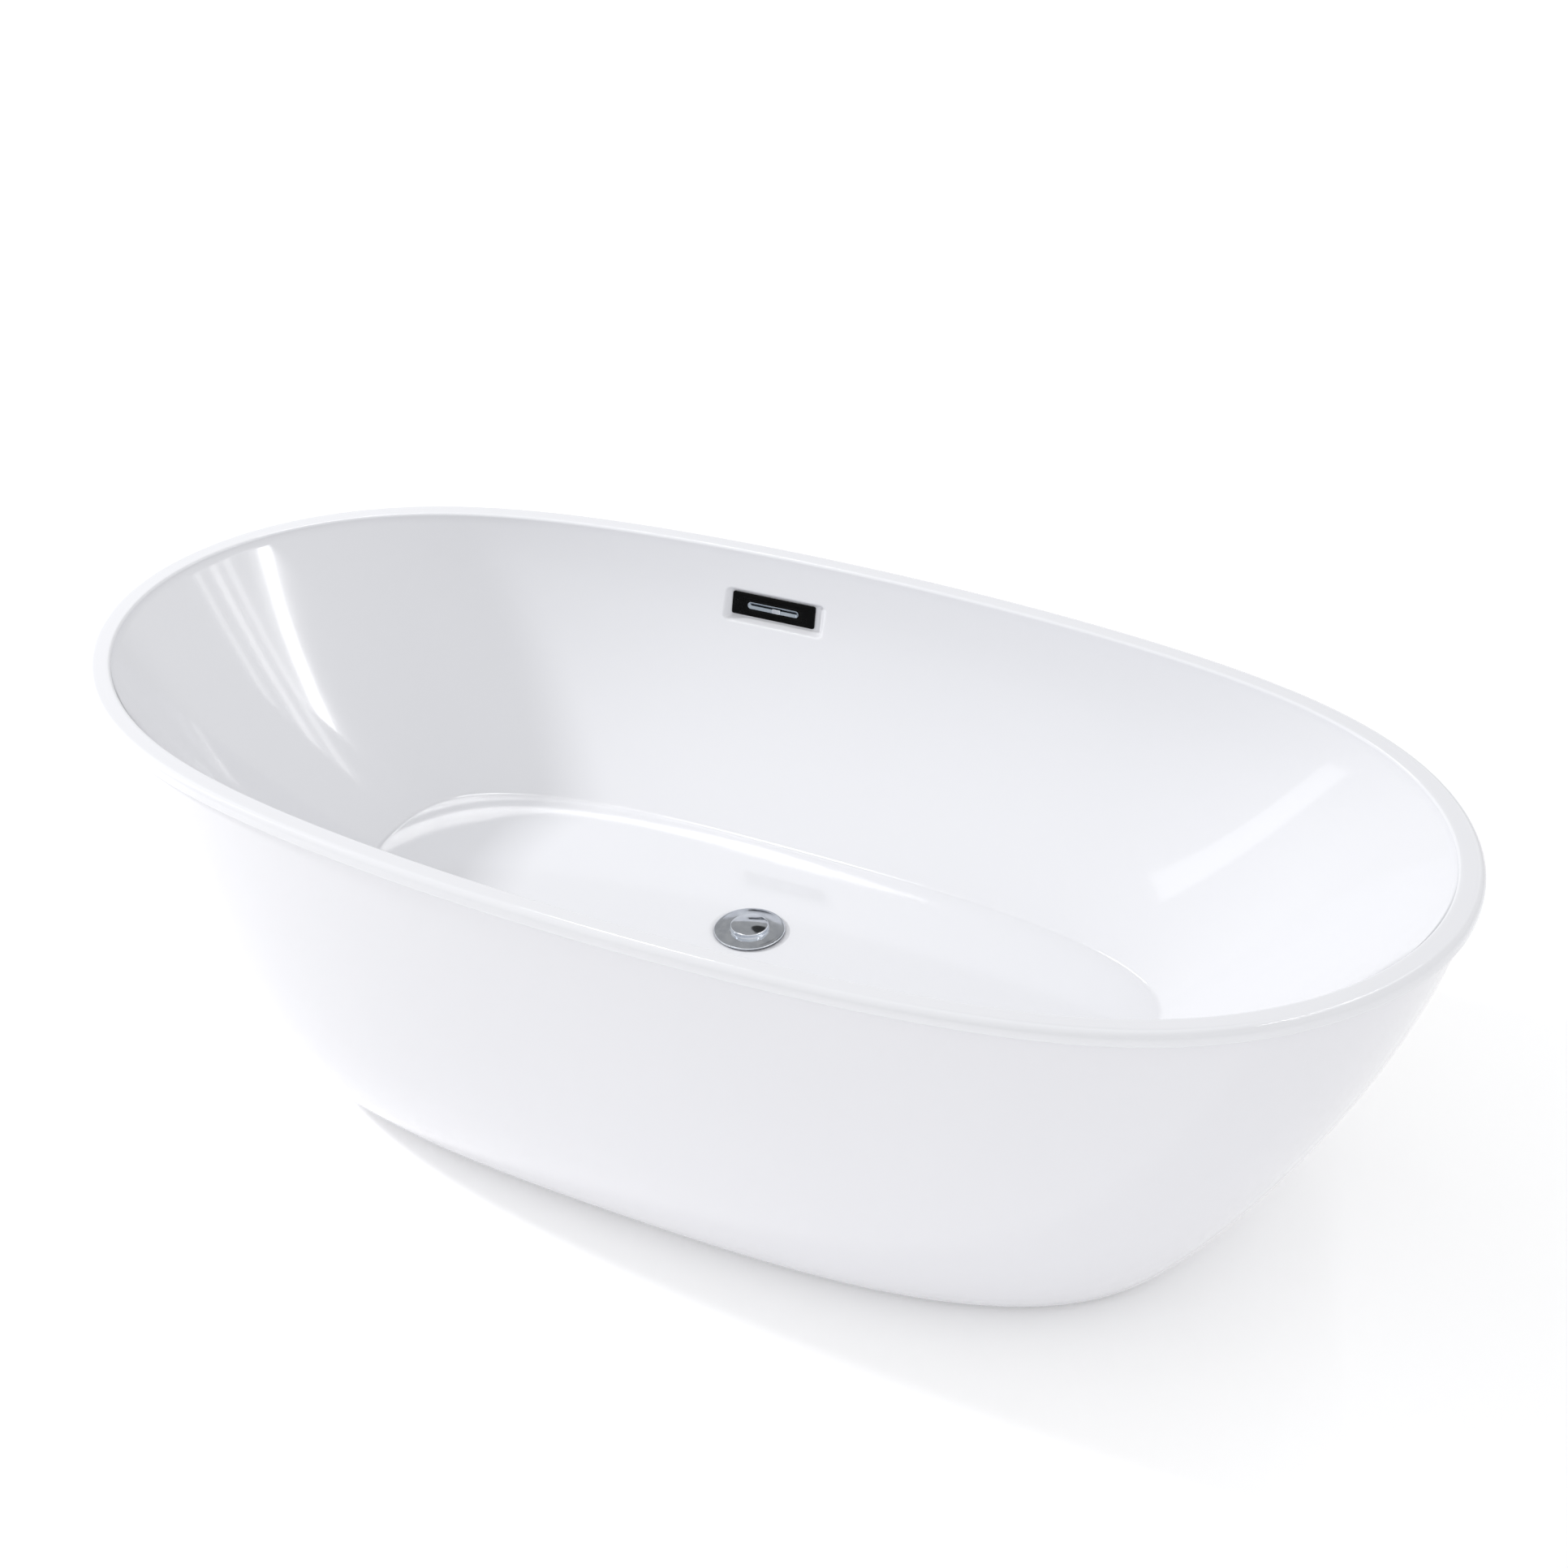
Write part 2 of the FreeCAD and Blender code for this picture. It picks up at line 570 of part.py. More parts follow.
def drain_side(distance):
    """Point on the pipe's lower run at a distance out from the drain's axis."""
    return V(0, 0, PIPE_CORNER.z) - pipe_inward() * distance


def overflow_pipe():
    """Down the gap between the walls, round one bend, and in to the drain body."""
    upward, inward = pipe_upward(), pipe_inward()
    half_turn = upward.getAngle(inward) / 2
    setback = PIPE_BEND_R / math.tan(half_turn)
    bend_start = PIPE_CORNER + upward * setback
    bend_end = PIPE_CORNER + inward * setback
    to_middle = PIPE_BEND_R / math.sin(half_turn) - PIPE_BEND_R
    bend_middle = PIPE_CORNER + (upward + inward).normalize() * to_middle
    path = Part.Wire([
        Part.LineSegment(PIPE_TOP, bend_start).toShape(),
        Part.Arc(bend_start, bend_middle, bend_end).toShape(),
        Part.LineSegment(bend_end, drain_side(BODY_R + PIPE_STOP)).toShape(),
    ])
    solids = []
    for radius in (PIPE_R - 0.1, PIPE_R - PIPE_WALL):
        circle = Part.Wire(Part.Circle(PIPE_TOP, upward, radius).toShape())
        solids.append(path.makePipeShell([circle], True, False))
    return solids[0].cut(solids[1])


def pipe_nut(start, direction):
    bore_r = PIPE_R + PIPE_WALL + 0.1
    outer = Part.makeCylinder(bore_r + PIPE_NUT_WALL, PIPE_NUT_LENGTH, start, direction)
    return outer.cut(Part.makeCylinder(bore_r, PIPE_NUT_LENGTH + 2, start - direction, direction))


def overflow_pipe_nuts():
    upper = pipe_nut(PIPE_TOP + pipe_upward() * PIPE_NUT_ABOVE, -pipe_upward())
    lower = pipe_nut(drain_side(BODY_R + 2 * PIPE_STOP), pipe_inward())
    return upper, lower


# ---- drain ----

def drain_flange():
    """Flange on the basin's floor and its threaded tail, with a spider that holds the cartridge."""
    plate = disc(FLANGE_R, BASIN_FLOOR_Z - FLANGE_THICKNESS, BASIN_FLOOR_Z)
    tail = disc(TAIL_R, TAIL_BOTTOM, BASIN_FLOOR_Z - 1)
    flange = plate.fuse(tail).cut(disc(TAIL_BORE_R, TAIL_BOTTOM - 1, BASIN_FLOOR_Z + 1))
    mouth_z = BASIN_FLOOR_Z - MOUTH_SLOPE
    mouth = Part.makeCone(TAIL_BORE_R, TAIL_BORE_R + MOUTH_SLOPE, MOUTH_SLOPE, V(0, 0, mouth_z))
    flange = flange.cut(mouth)
    for turn in SPIDER_TURNS:
        corner = V(0, -SPIDER_ARM / 2, SPIDER_Z)
        arm = Part.makeBox(TAIL_BORE_R + 1, SPIDER_ARM, SPIDER_HEIGHT, corner)
        arm.rotate(V(0, 0, 0), UP, turn)
        flange = flange.fuse(arm)
    hub_top = SPIDER_Z + SPIDER_HEIGHT
    flange = flange.fuse(disc(CARTRIDGE_R + SPIDER_HUB_WALL, SPIDER_Z, hub_top))
    return flange.cut(disc(CARTRIDGE_R, SPIDER_Z - 1, hub_top + 1))


def click_cartridge():
    bore = disc(STEM_R + THREAD_CLEARANCE, CARTRIDGE_BOTTOM + CARTRIDGE_FLOOR, CARTRIDGE_TOP + 1)
    return disc(CARTRIDGE_R, CARTRIDGE_BOTTOM, CARTRIDGE_TOP).cut(bore)


def plug_spring():
    floor = CARTRIDGE_BOTTOM + CARTRIDGE_FLOOR
    end = SPRING_WIRE_R + SPRING_END_GAP
    height = STEM_BOTTOM - floor - 2 * end
    helix = Part.makeHelix(height / SPRING_TURNS, height, SPRING_COIL_R)
    helix.translate(V(0, 0, floor + end))
    start = helix.Vertexes[0].Point
    section = Part.Wire(Part.Circle(start, V(0, 1, 0), SPRING_WIRE_R).toShape())
    return Part.Wire(helix.Edges).makePipeShell([section], True, True)


def plug_stem():
    pin = disc(CAP_PIN_R, CAP_BOTTOM, CAP_BOTTOM + CAP_PIN_LENGTH)
    return disc(STEM_R, STEM_BOTTOM, CAP_BOTTOM).fuse(pin)


def plug_cap():
    """Domed mushroom cap: a rounded edge band under a shallow dome, with a groove for the seal."""
    edge_top = CAP_BOTTOM + CAP_EDGE
    radius = (CAP_R ** 2 + CAP_DOME ** 2) / (2 * CAP_DOME)
    ball = Part.makeSphere(radius, V(0, 0, edge_top + CAP_DOME - radius))
    dome = ball.common(disc(CAP_R, edge_top, edge_top + CAP_DOME + 1))
    cap = disc(CAP_R, CAP_BOTTOM, edge_top).fuse(dome).removeSplitter()
    cap = cap.makeFillet(CAP_EDGE_ROUND, edges_at(cap, CAP_BOTTOM))
    cap = cap.cut(disc(CAP_PIN_R, CAP_BOTTOM - 1, CAP_BOTTOM + CAP_PIN_LENGTH))
    return cap.cut(ring(SEAL_R_OUT, SEAL_R_IN, CAP_BOTTOM - 1, CAP_BOTTOM + SEAL_GROOVE))


def plug_seal():
    return ring(SEAL_R_OUT, SEAL_R_IN, CAP_BOTTOM - SEAL_PROUD, CAP_BOTTOM + SEAL_GROOVE)


def drain_gaskets():
    """One ring under the flange, in the basin's seat, and one under the floor layer."""
    seat = BASIN_FLOOR_Z - FLANGE_THICKNESS - GASKET_THICKNESS
    bore = TAIL_R + GASKET_FIT
    upper = ring(FLANGE_R - 1, bore, seat, seat + GASKET_THICKNESS)
    lower = ring(BODY_FLANGE_R, bore, BODY_TOP, LAYER_Z)
    return upper, lower


def drain_body():
    """Waste body screwed onto the flange's tail, with a branch for the overflow pipe."""
    flange_low = BODY_TOP - BODY_FLANGE_THICKNESS
    body = disc(BODY_FLANGE_R, flange_low, BODY_TOP).fuse(disc(BODY_R, BODY_BOTTOM, flange_low + 1))
    reach = BODY_R + BRANCH_LENGTH
    branch = Part.makeCylinder(PIPE_R + PIPE_WALL, reach, drain_side(reach), pipe_inward())
    body = body.fuse(branch)
    thread_low = TAIL_BOTTOM - THREAD_DEPTH
    body = body.cut(disc(BODY_R - BODY_WALL, BODY_BOTTOM + BODY_WALL, thread_low + 1))
    body = body.cut(disc(TAIL_R, thread_low, BODY_TOP + 1))
    body = body.cut(disc(OUTLET_R - OUTLET_WALL, BODY_BOTTOM - 1, BODY_BOTTOM + BODY_WALL + 1))
    bore = Part.makeCylinder(PIPE_R, BRANCH_BORE, drain_side(reach + 2), pipe_inward())
    return body.cut(bore)


def outlet_tail():
    """Plain pipe for the trap, with a neck, a shoulder and a collar that the nut pulls up."""
    bore = OUTLET_R - OUTLET_WALL
    tail = ring(OUTLET_R, bore, OUTLET_BOTTOM, OUTLET_TOP)
    neck = ring(OUTLET_R - OUTLET_NECK, bore, OUTLET_TOP, BODY_BOTTOM)
    shoulder = ring(SHOULDER_R, bore, SHOULDER_Z, BODY_BOTTOM)
    collar = ring(COLLAR_R, bore, BODY_BOTTOM - COLLAR_THICKNESS, BODY_BOTTOM)
    return tail.fuse([neck, shoulder, collar])


def outlet_nut():
    """Ribbed nut on the body's foot, whose lip bears on the outlet's collar."""
    high = BODY_BOTTOM + OUTLET_NUT_ABOVE
    nut = ring(BODY_R + OUTLET_NUT_WALL, BODY_R + THREAD_CLEARANCE, SHOULDER_Z, high)
    lip_top = BODY_BOTTOM - COLLAR_THICKNESS - 0.1
    nut = nut.fuse(ring(BODY_R + 1, SHOULDER_R + 0.1, SHOULDER_Z, lip_top))
    for i in range(OUTLET_NUT_GRIPS):
        grip = block(GRIP_SIZE[0], GRIP_SIZE[1], SHOULDER_Z, high, BODY_R + OUTLET_NUT_WALL + 0.5)
        grip.rotate(V(0, 0, 0), UP, 360 * i / OUTLET_NUT_GRIPS)
        nut = nut.fuse(grip)
    return nut


# ---- nodes ----

def export_shells():
    export("basin_shell", basin_shell())
    export("outer_skirt", outer_skirt())
    export("rim_stiffener", rim_stiffener())
    export("floor_layer", floor_layer())
    export("base_board", base_board())


def export_frame():
    for number, side in enumerate((-1, 1), 1):
        export("side_rail_%d" % number, side_rail(side * SIDE_RAIL_Y))
    for number, x in enumerate(CROSS_RAIL_X, 1):
        export("cross_rail_%d" % number, cross_rail(x))
    export("board_screws", *board_screws())
    export("skirt_brackets", *skirt_brackets())
    export("glue_blocks", *glue_blocks())


def export_feet():
    for number, (x, y) in enumerate(FOOT_PLACES, 1):
        export("foot_stud_%d" % number, foot_stud(x, y))
        export("foot_pad_%d" % number, foot_pad(x, y))
        export("foot_nuts_%d" % number, *foot_nuts(x, y))


def export_overflow():
    export("overflow_plate", overflow_plate())
    export("overflow_slot_trim", overflow_slot_trim())
    export("overflow_screw", overflow_screw())
    export("overflow_gasket", overflow_gasket())
    export("overflow_body", overflow_body())
    export("overflow_pipe", overflow_pipe())
    upper, lower = overflow_pipe_nuts()
    export("overflow_nut_upper", upper)
    export("overflow_nut_lower", lower)


def export_drain():
    upper, lower = drain_gaskets()
    export("drain_flange", drain_flange())
    export("drain_gasket_upper", upper)
    export("drain_gasket_lower", lower)
    export("drain_body", drain_body())
    export("outlet_tail", outlet_tail())
    export("outlet_nut", outlet_nut())
    export("click_cartridge", click_cartridge())
    export("plug_spring", plug_spring())
    export("plug_stem", plug_stem())
    export("plug_cap", plug_cap())
    export("plug_seal", plug_seal())


os.makedirs("parts", exist_ok=True)
export_shells()
export_frame()
export_feet()
export_overflow()
export_drain()
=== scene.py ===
import json
import math

import bmesh
import bpy
import numpy as np
from mathutils import Matrix, Vector


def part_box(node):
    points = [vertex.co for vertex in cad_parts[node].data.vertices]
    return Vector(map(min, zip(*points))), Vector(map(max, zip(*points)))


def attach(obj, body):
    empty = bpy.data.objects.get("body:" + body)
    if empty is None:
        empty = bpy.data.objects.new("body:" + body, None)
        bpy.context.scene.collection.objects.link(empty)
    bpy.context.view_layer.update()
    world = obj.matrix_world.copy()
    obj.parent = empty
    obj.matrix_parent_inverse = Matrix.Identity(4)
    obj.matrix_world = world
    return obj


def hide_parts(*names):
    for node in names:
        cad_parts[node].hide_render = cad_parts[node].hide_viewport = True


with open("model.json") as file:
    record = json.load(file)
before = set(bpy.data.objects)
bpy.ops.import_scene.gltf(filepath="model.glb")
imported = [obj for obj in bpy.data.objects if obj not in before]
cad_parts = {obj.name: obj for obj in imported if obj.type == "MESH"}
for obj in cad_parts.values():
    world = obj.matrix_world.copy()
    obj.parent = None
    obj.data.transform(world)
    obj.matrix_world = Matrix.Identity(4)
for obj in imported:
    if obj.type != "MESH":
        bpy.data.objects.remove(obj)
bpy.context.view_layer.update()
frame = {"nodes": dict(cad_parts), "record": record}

# ---- places read from the frame, and the shape of the shells, in metres ----

TUB_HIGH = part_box("basin_shell")[1]
SKIRT_LOW, SKIRT_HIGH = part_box("outer_skirt")
FLANGE_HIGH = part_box("drain_flange")[1]
CAP_LOW, CAP_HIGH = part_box("plug_cap")
PLATE_LOW, PLATE_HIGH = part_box("overflow_plate")

HALF_LENGTH = TUB_HIGH.x
HALF_WIDTH = TUB_HIGH.y
RIM_TOP = TUB_HIGH.z
FLOOR_TOP = FLANGE_HIGH.z
BASIN_DEPTH = RIM_TOP - FLOOR_TOP
MM = 0.001
QUARTER_TURN = math.pi / 2

RIM_HARMONICS = (-0.018, 0.020, -0.084, 0.0165)
FOOT_HARMONICS = (-0.033, -0.020, -0.033, -0.020)
SKIRT_FOOT = (0.576, 0.277)                         # half length and half width
SKIRT_CURVES = ((0.435, 0.732), (0.155, 1.058))     # pulls along the tub and across it
BASIN_FLOOR = (0.504, 0.173)
BASIN_CURVES = ((0.42, 0.55), (0.36, 0.78))
RIM_WIDTH = 26 * MM
BASIN_WALL = 6 * MM
FLOOR_THICKNESS = 7.5 * MM
SKIRT_WALL = 5 * MM
COLUMNS = 384


# ---- curves and meshes ----

def lerp(low, high, fraction):
    return low + (high - low) * fraction


def curve_fraction(level, pull):
    """Width fraction at a height fraction, on a quadratic curve pulled towards one point."""
    a = 1 - 2 * pull[0]
    b = 2 * pull[0]
    q = (-b + math.sqrt(b * b + 4 * a * level)) / (2 * a)
    return 2 * q * (1 - q) * pull[1] + q * q


def mixed_harmonics(fraction):
    """Harmonics at a height fraction, between those of the foot and those of the rim."""
    return tuple(lerp(f, r, fraction) for f, r in zip(FOOT_HARMONICS, RIM_HARMONICS))


def oval(turns, half_x, half_y, z, harmonics=(0, 0, 0, 0)):
    """One ring of points; the harmonics fill out or slim the oval's corners."""
    x3, x5, y3, y5 = harmonics
    x = (np.cos(turns) + x3 * np.cos(3 * turns) + x5 * np.cos(5 * turns)) / (1 + x3 + x5)
    y = (np.sin(turns) - y3 * np.sin(3 * turns) + y5 * np.sin(5 * turns)) / (1 + y3 + y5)
    return np.stack([half_x * x, half_y * y, np.full(len(turns), z)], axis=1)


def basin_ring(turns, level, outset=0.0, drop=0.0):
    """Ring of the basin's inner wall at a height fraction, grown outwards and lowered if asked."""
    half_x = lerp(BASIN_FLOOR[0], HALF_LENGTH - RIM_WIDTH, curve_fraction(level, BASIN_CURVES[0]))
    half_y = lerp(BASIN_FLOOR[1], HALF_WIDTH - RIM_WIDTH, curve_fraction(level, BASIN_CURVES[1]))
    z = lerp(FLOOR_TOP, RIM_TOP, level) - drop
    return oval(turns, half_x + outset, half_y + outset, z, mixed_harmonics(level))


def skirt_ring(turns, z, inset=0.0):
    """Ring of the skirt's outside at a height, shrunk inwards if asked."""
    level = z / SKIRT_HIGH.z
    half_x = lerp(SKIRT_FOOT[0], SKIRT_HIGH.x, curve_fraction(level, SKIRT_CURVES[0]))
    half_y = lerp(SKIRT_FOOT[1], SKIRT_HIGH.y, curve_fraction(level, SKIRT_CURVES[1]))
    return oval(turns, half_x - inset, half_y - inset, z, mixed_harmonics(level))


def mesh_object(name, points, faces):
    mesh = bpy.data.meshes.new(name)
    mesh.from_pydata([tuple(p) for p in points], [], faces)
    work = bmesh.new()
    work.from_mesh(mesh)
    bmesh.ops.recalc_face_normals(work, faces=work.faces)
    work.to_mesh(mesh)
    work.free()
    mesh.polygons.foreach_set("use_smooth", [True] * len(mesh.polygons))
    piece = bpy.data.objects.new(name, mesh)
    bpy.context.scene.collection.objects.link(piece)
    return piece


def ring_mesh(name, rings, closed=True):
    """Skin over rings with equal point counts; closed joins the last ring to the first."""
    count = len(rings[0])
    faces = []
    pairs = len(rings) if closed else len(rings) - 1
    for row in range(pairs):
        here = row * count
        there = ((row + 1) % len(rings)) * count
        for i in range(count):
            j = (i + 1) % count
            faces.append((here + i, here + j, there + j, there + i))
    return mesh_object(name, np.concatenate(rings), faces)


def lathe(name, profile, steps, base_z):
    """Turn a profile of (radius, height) about +Z; its first and last radius are zero."""
    angles = np.linspace(0, 2 * math.pi, steps, endpoint=False)
    points, starts = [], []
    for radius, height in profile:
        starts.append(len(points))
        z = height + base_z
        if radius == 0:
            points.append((0, 0, z))
        else:
            points += [(radius * math.cos(a), radius * math.sin(a), z) for a in angles]
    faces = []
    for k in range(len(profile) - 1):
        low, high = starts[k], starts[k + 1]
        for i in range(steps):
            j = (i + 1) % steps
            if profile[k][0] == 0:
                faces.append((low, high + i, high + j))
            elif profile[k + 1][0] == 0:
                faces.append((low + i, high, low + j))
            else:
                faces.append((low + i, low + j, high + j, high + i))
    return mesh_object(name, points, faces)


def arc(centre_r, centre_z, radius, start, end, steps):
    """Profile points round an arc, from one angle to another in degrees."""
    turns = np.radians(np.linspace(start, end, steps))
    return [(centre_r + radius * math.cos(t), centre_z + radius * math.sin(t)) for t in turns]


def rounded_rectangle(half_u, half_v, corner, arc_steps=7, u_steps=16, v_steps=4):
    """Closed loop of (u, v) with the same point count for any size, so loops can be skinned."""
    signs = ((1, 1), (-1, 1), (-1, -1), (1, -1))

    def on_corner(quarter, turn):
        sign_u, sign_v = signs[quarter % 4]
        return (sign_u * (half_u - corner) + corner * math.cos(turn),
                sign_v * (half_v - corner) + corner * math.sin(turn))

    loop = []
    for quarter in range(4):
        for step in range(arc_steps):
            loop.append(on_corner(quarter, QUARTER_TURN * (quarter + step / (arc_steps - 1))))
        start, after = loop[-1], on_corner(quarter + 1, QUARTER_TURN * (quarter + 1))
        steps = v_steps if quarter % 2 else u_steps
        for step in range(1, steps):
            loop.append([lerp(a, b, step / steps) for a, b in zip(start, after)])
    return np.array(loop)


def close_ends(piece, count):
    """Cap an open skin with its first and its last ring, of count points each."""
    work = bmesh.new()
    work.from_mesh(piece.data)
    work.verts.ensure_lookup_table()
    work.faces.new(work.verts[:count])
    work.faces.new(work.verts[-count:])
    bmesh.ops.recalc_face_normals(work, faces=work.faces)
    work.to_mesh(piece.data)
    work.free()


def apply_modifiers(piece):
    """Turn the piece's modifiers into its own mesh."""
    bpy.context.view_layer.update()
    graph = bpy.context.evaluated_depsgraph_get()
    mesh = bpy.data.meshes.new_from_object(piece.evaluated_get(graph))
    piece.modifiers.clear()
    piece.data = mesh


# ---- materials ----

class Shades:
    """One node material: plain values on the shader, and noise linked over some of them."""

    def __init__(self, name, base, rough, metallic=0.0):
        self.material = bpy.data.materials.new(name)
        self.material.use_nodes = True
        self.tree = self.material.node_tree
        self.shader = self.tree.nodes["Principled BSDF"]
        self.place = self.tree.nodes.new("ShaderNodeTexCoord").outputs["Object"]
        self.set("Base Color", (*base, 1))
        self.set("Roughness", rough)
        self.set("Metallic", metallic)

    def set(self, socket, value):
        self.shader.inputs[socket].default_value = value

    def noise(self, scale, detail=3.0, stretch=(1, 1, 1)):
        mapping = self.tree.nodes.new("ShaderNodeMapping")
        mapping.inputs["Scale"].default_value = stretch
        self.tree.links.new(self.place, mapping.inputs["Vector"])
        node = self.tree.nodes.new("ShaderNodeTexNoise")
        node.inputs["Scale"].default_value = scale
        node.inputs["Detail"].default_value = detail
        self.tree.links.new(mapping.outputs[0], node.inputs["Vector"])
        return node.outputs["Fac"]

    def ramp(self, factor, stops):
        node = self.tree.nodes.new("ShaderNodeValToRGB")
        while len(node.color_ramp.elements) < len(stops):
            node.color_ramp.elements.new(0.5)
        for element, (place, colour) in zip(node.color_ramp.elements, stops):
            element.position = place
            element.color = (*colour, 1)
        self.tree.links.new(factor, node.inputs["Fac"])
        return node.outputs["Color"]

    def spread(self, factor, low, high):
        node = self.tree.nodes.new("ShaderNodeMapRange")
        node.inputs["To Min"].default_value = low
        node.inputs["To Max"].default_value = high
        self.tree.links.new(factor, node.inputs["Value"])
        return node.outputs["Result"]

    def link(self, output, socket):
        self.tree.links.new(output, self.shader.inputs[socket])

    def bump(self, height, distance, strength=1.0):
        node = self.tree.nodes.new("ShaderNodeBump")
        node.inputs["Strength"].default_value = strength
        node.inputs["Distance"].default_value = distance
        self.tree.links.new(height, node.inputs["Height"])
        self.link(node.outputs["Normal"], "Normal")


def acrylic(name, tint):
    """Gloss white sanitary acrylic: deep clear gloss, faint ripple and fine variation."""
    low = tuple(c * 0.985 for c in tint)
    paint = Shades(name, tint, 0.08)
    paint.link(paint.ramp(paint.noise(2.2, 2), [(0.3, low), (0.7, tint)]), "Base Color")
    paint.link(paint.spread(paint.noise(9.0, 4), 0.05, 0.11), "Roughness")
    paint.set("IOR", 1.49)
    paint.set("Coat Weight", 0.3)
    paint.set("Coat Roughness", 0.03)
    paint.bump(paint.noise(10.0, 2), 0.0004, 0.2)
    return paint.material


def chrome(name, low, high):
    """Polished chrome with faint wiping marks and water haze."""
    paint = Shades(name, low, 0.05, 1.0)
    haze = paint.noise(90.0, 5)
    paint.link(paint.ramp(haze, [(0.35, low), (0.65, high)]), "Base Color")
    paint.link(paint.spread(paint.noise(160.0, 4, (1, 4, 1)), 0.03, 0.11), "Roughness")
    return paint.material


def black_gloss(name):
    """Gloss black lacquer, very dark and slightly uneven."""
    paint = Shades(name, (0.002, 0.002, 0.002), 0.12)
    stops = [(0.3, (0.001, 0.001, 0.001)), (0.7, (0.003, 0.003, 0.003))]
    paint.link(paint.ramp(paint.noise(60.0, 3), stops), "Base Color")
    paint.link(paint.spread(paint.noise(120.0, 4), 0.08, 0.16), "Roughness")
    paint.set("Specular IOR Level", 0.08)
    return paint.material


def rubber(name):
    """Matt black moulded rubber with a fine grain."""
    paint = Shades(name, (0.03, 0.03, 0.03), 0.7)
    grain = paint.noise(420.0, 4)
    stops = [(0.3, (0.020, 0.020, 0.021)), (0.7, (0.045, 0.045, 0.046))]
    paint.link(paint.ramp(grain, stops), "Base Color")
    paint.link(paint.spread(grain, 0.55, 0.8), "Roughness")
    paint.bump(grain, 0.0003, 0.5)
    return paint.material


def plastic(name, tint, rough):
    """Moulded plastic: cloudy tone and a fine grain."""
    paint = Shades(name, tint, rough)
    grain = paint.noise(260.0, 4)
    dark = tuple(c * 0.92 for c in tint)
    paint.link(paint.ramp(paint.noise(18.0, 3), [(0.3, dark), (0.7, tint)]), "Base Color")
    paint.link(paint.spread(grain, rough - 0.07, rough + 0.07), "Roughness")
    paint.bump(grain, 0.0002, 0.35)
    return paint.material


def metal(name, light, dark, rough, stretch=(1, 1, 1)):
    """Plated, painted or turned metal: streaked tone and fine scratches."""
    paint = Shades(name, light, rough, 1.0)
    streak = paint.noise(70.0, 6, stretch)
    paint.link(paint.ramp(streak, [(0.3, dark), (0.7, light)]), "Base Color")
    scratches = paint.noise(300.0, 5, stretch)
    paint.link(paint.spread(scratches, rough - 0.08, rough + 0.12), "Roughness")
    paint.bump(streak, 0.0002, 0.2)
    return paint.material


def frame_paint(name):
    """Grey powder coat with its fine orange peel."""
    paint = Shades(name, (0.30, 0.31, 0.33), 0.42)
    peel = paint.noise(500.0, 3)
    stops = [(0.3, (0.27, 0.28, 0.30)), (0.7, (0.33, 0.34, 0.36))]
    paint.link(paint.ramp(paint.noise(30.0, 5), stops), "Base Color")
    paint.link(paint.spread(peel, 0.34, 0.5), "Roughness")
    paint.bump(peel, 0.0003, 0.4)
    return paint.material


def wood(name):
    """Bare plywood: long grain in the faces."""
    paint = Shades(name, (0.6, 0.44, 0.27), 0.65)
    grain = paint.noise(26.0, 8, (0.35, 6, 6))
    stops = [(0.3, (0.40, 0.27, 0.15)), (0.5, (0.58, 0.42, 0.25)), (0.7, (0.70, 0.54, 0.35))]
    paint.link(paint.ramp(grain, stops), "Base Color")
    paint.link(paint.spread(grain, 0.55, 0.75), "Roughness")
    paint.bump(grain, 0.0004, 0.5)
    return paint.material


def glass_fibre(name):
    """Cured chopped-strand glass fibre in resin."""
    paint = Shades(name, (0.62, 0.58, 0.44), 0.35)
    strands = paint.noise(220.0, 8, (1, 5, 2))
    stops = [(0.35, (0.50, 0.46, 0.33)), (0.65, (0.74, 0.71, 0.58))]
    paint.link(paint.ramp(strands, stops), "Base Color")
    paint.link(paint.spread(strands, 0.25, 0.5), "Roughness")
    paint.bump(strands, 0.0008, 0.7)
    return paint.material


MATERIALS = {
    "acrylic_white": acrylic("basin_acrylic", (0.784, 0.79, 0.82)),
    # The skirt's copy of the white acrylic is a touch darker than the basin's: painted shade, so
    # that the outer wall reads as dark as it does under this light.
    "acrylic_white_skirt": acrylic("skirt_acrylic_with_painted_shade", (0.781, 0.782, 0.817)),
    "glass_fibre": glass_fibre("glass_fibre"),
    "plywood": wood("plywood"),
    "frame_paint": frame_paint("frame_paint"),
    "zinc_steel": metal("zinc_steel", (0.70, 0.71, 0.73), (0.52, 0.53, 0.55), 0.32),
    "spring_steel": metal("spring_steel", (0.60, 0.61, 0.63), (0.45, 0.46, 0.48), 0.28),
    "black_gloss": black_gloss("black_gloss"),
    "chrome": chrome("chrome", (0.60, 0.63, 0.68), (0.70, 0.73, 0.77)),
    # Darker copy of the chrome for the lining down inside the overflow slot: painted shade,
    # standing in for the shade in the slot.
    "chrome_painted_shade": chrome("chrome_painted_shade", (0.30, 0.34, 0.39), (0.38, 0.42, 0.47)),
    "rubber_black": rubber("rubber_black"),
    "pipe_plastic": plastic("pipe_plastic", (0.72, 0.73, 0.74), 0.38),
    "nut_plastic": plastic("nut_plastic", (0.05, 0.05, 0.055), 0.45),
    "brass": metal("brass", (0.80, 0.62, 0.30), (0.62, 0.46, 0.20), 0.25),
}


def finish_cad_nodes():
    """Give every carried-over CAD node the procedural material of its slot."""
    for part in frame["record"]["subparts"]:
        node = frame["nodes"][part["node"]]
        for slot in node.material_slots:
            slot.material = MATERIALS[part["material_slot"]]


def stand_for(piece, node, body, slot, stand_in_material=None):
    """Ride a piece on its body in place of a CAD node, in the slot's material or in a stand-in
    material given for it.
    """
    piece.data.materials.append(MATERIALS[stand_in_material or slot])
    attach(piece, body)
    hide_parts(node)
    return piece


# ---- the overflow's own frame: u along the tub, v up the plate, w out through the wall ----

CHORD_HALF_TURN = 0.05      # radians to each side of the place whose direction is wanted


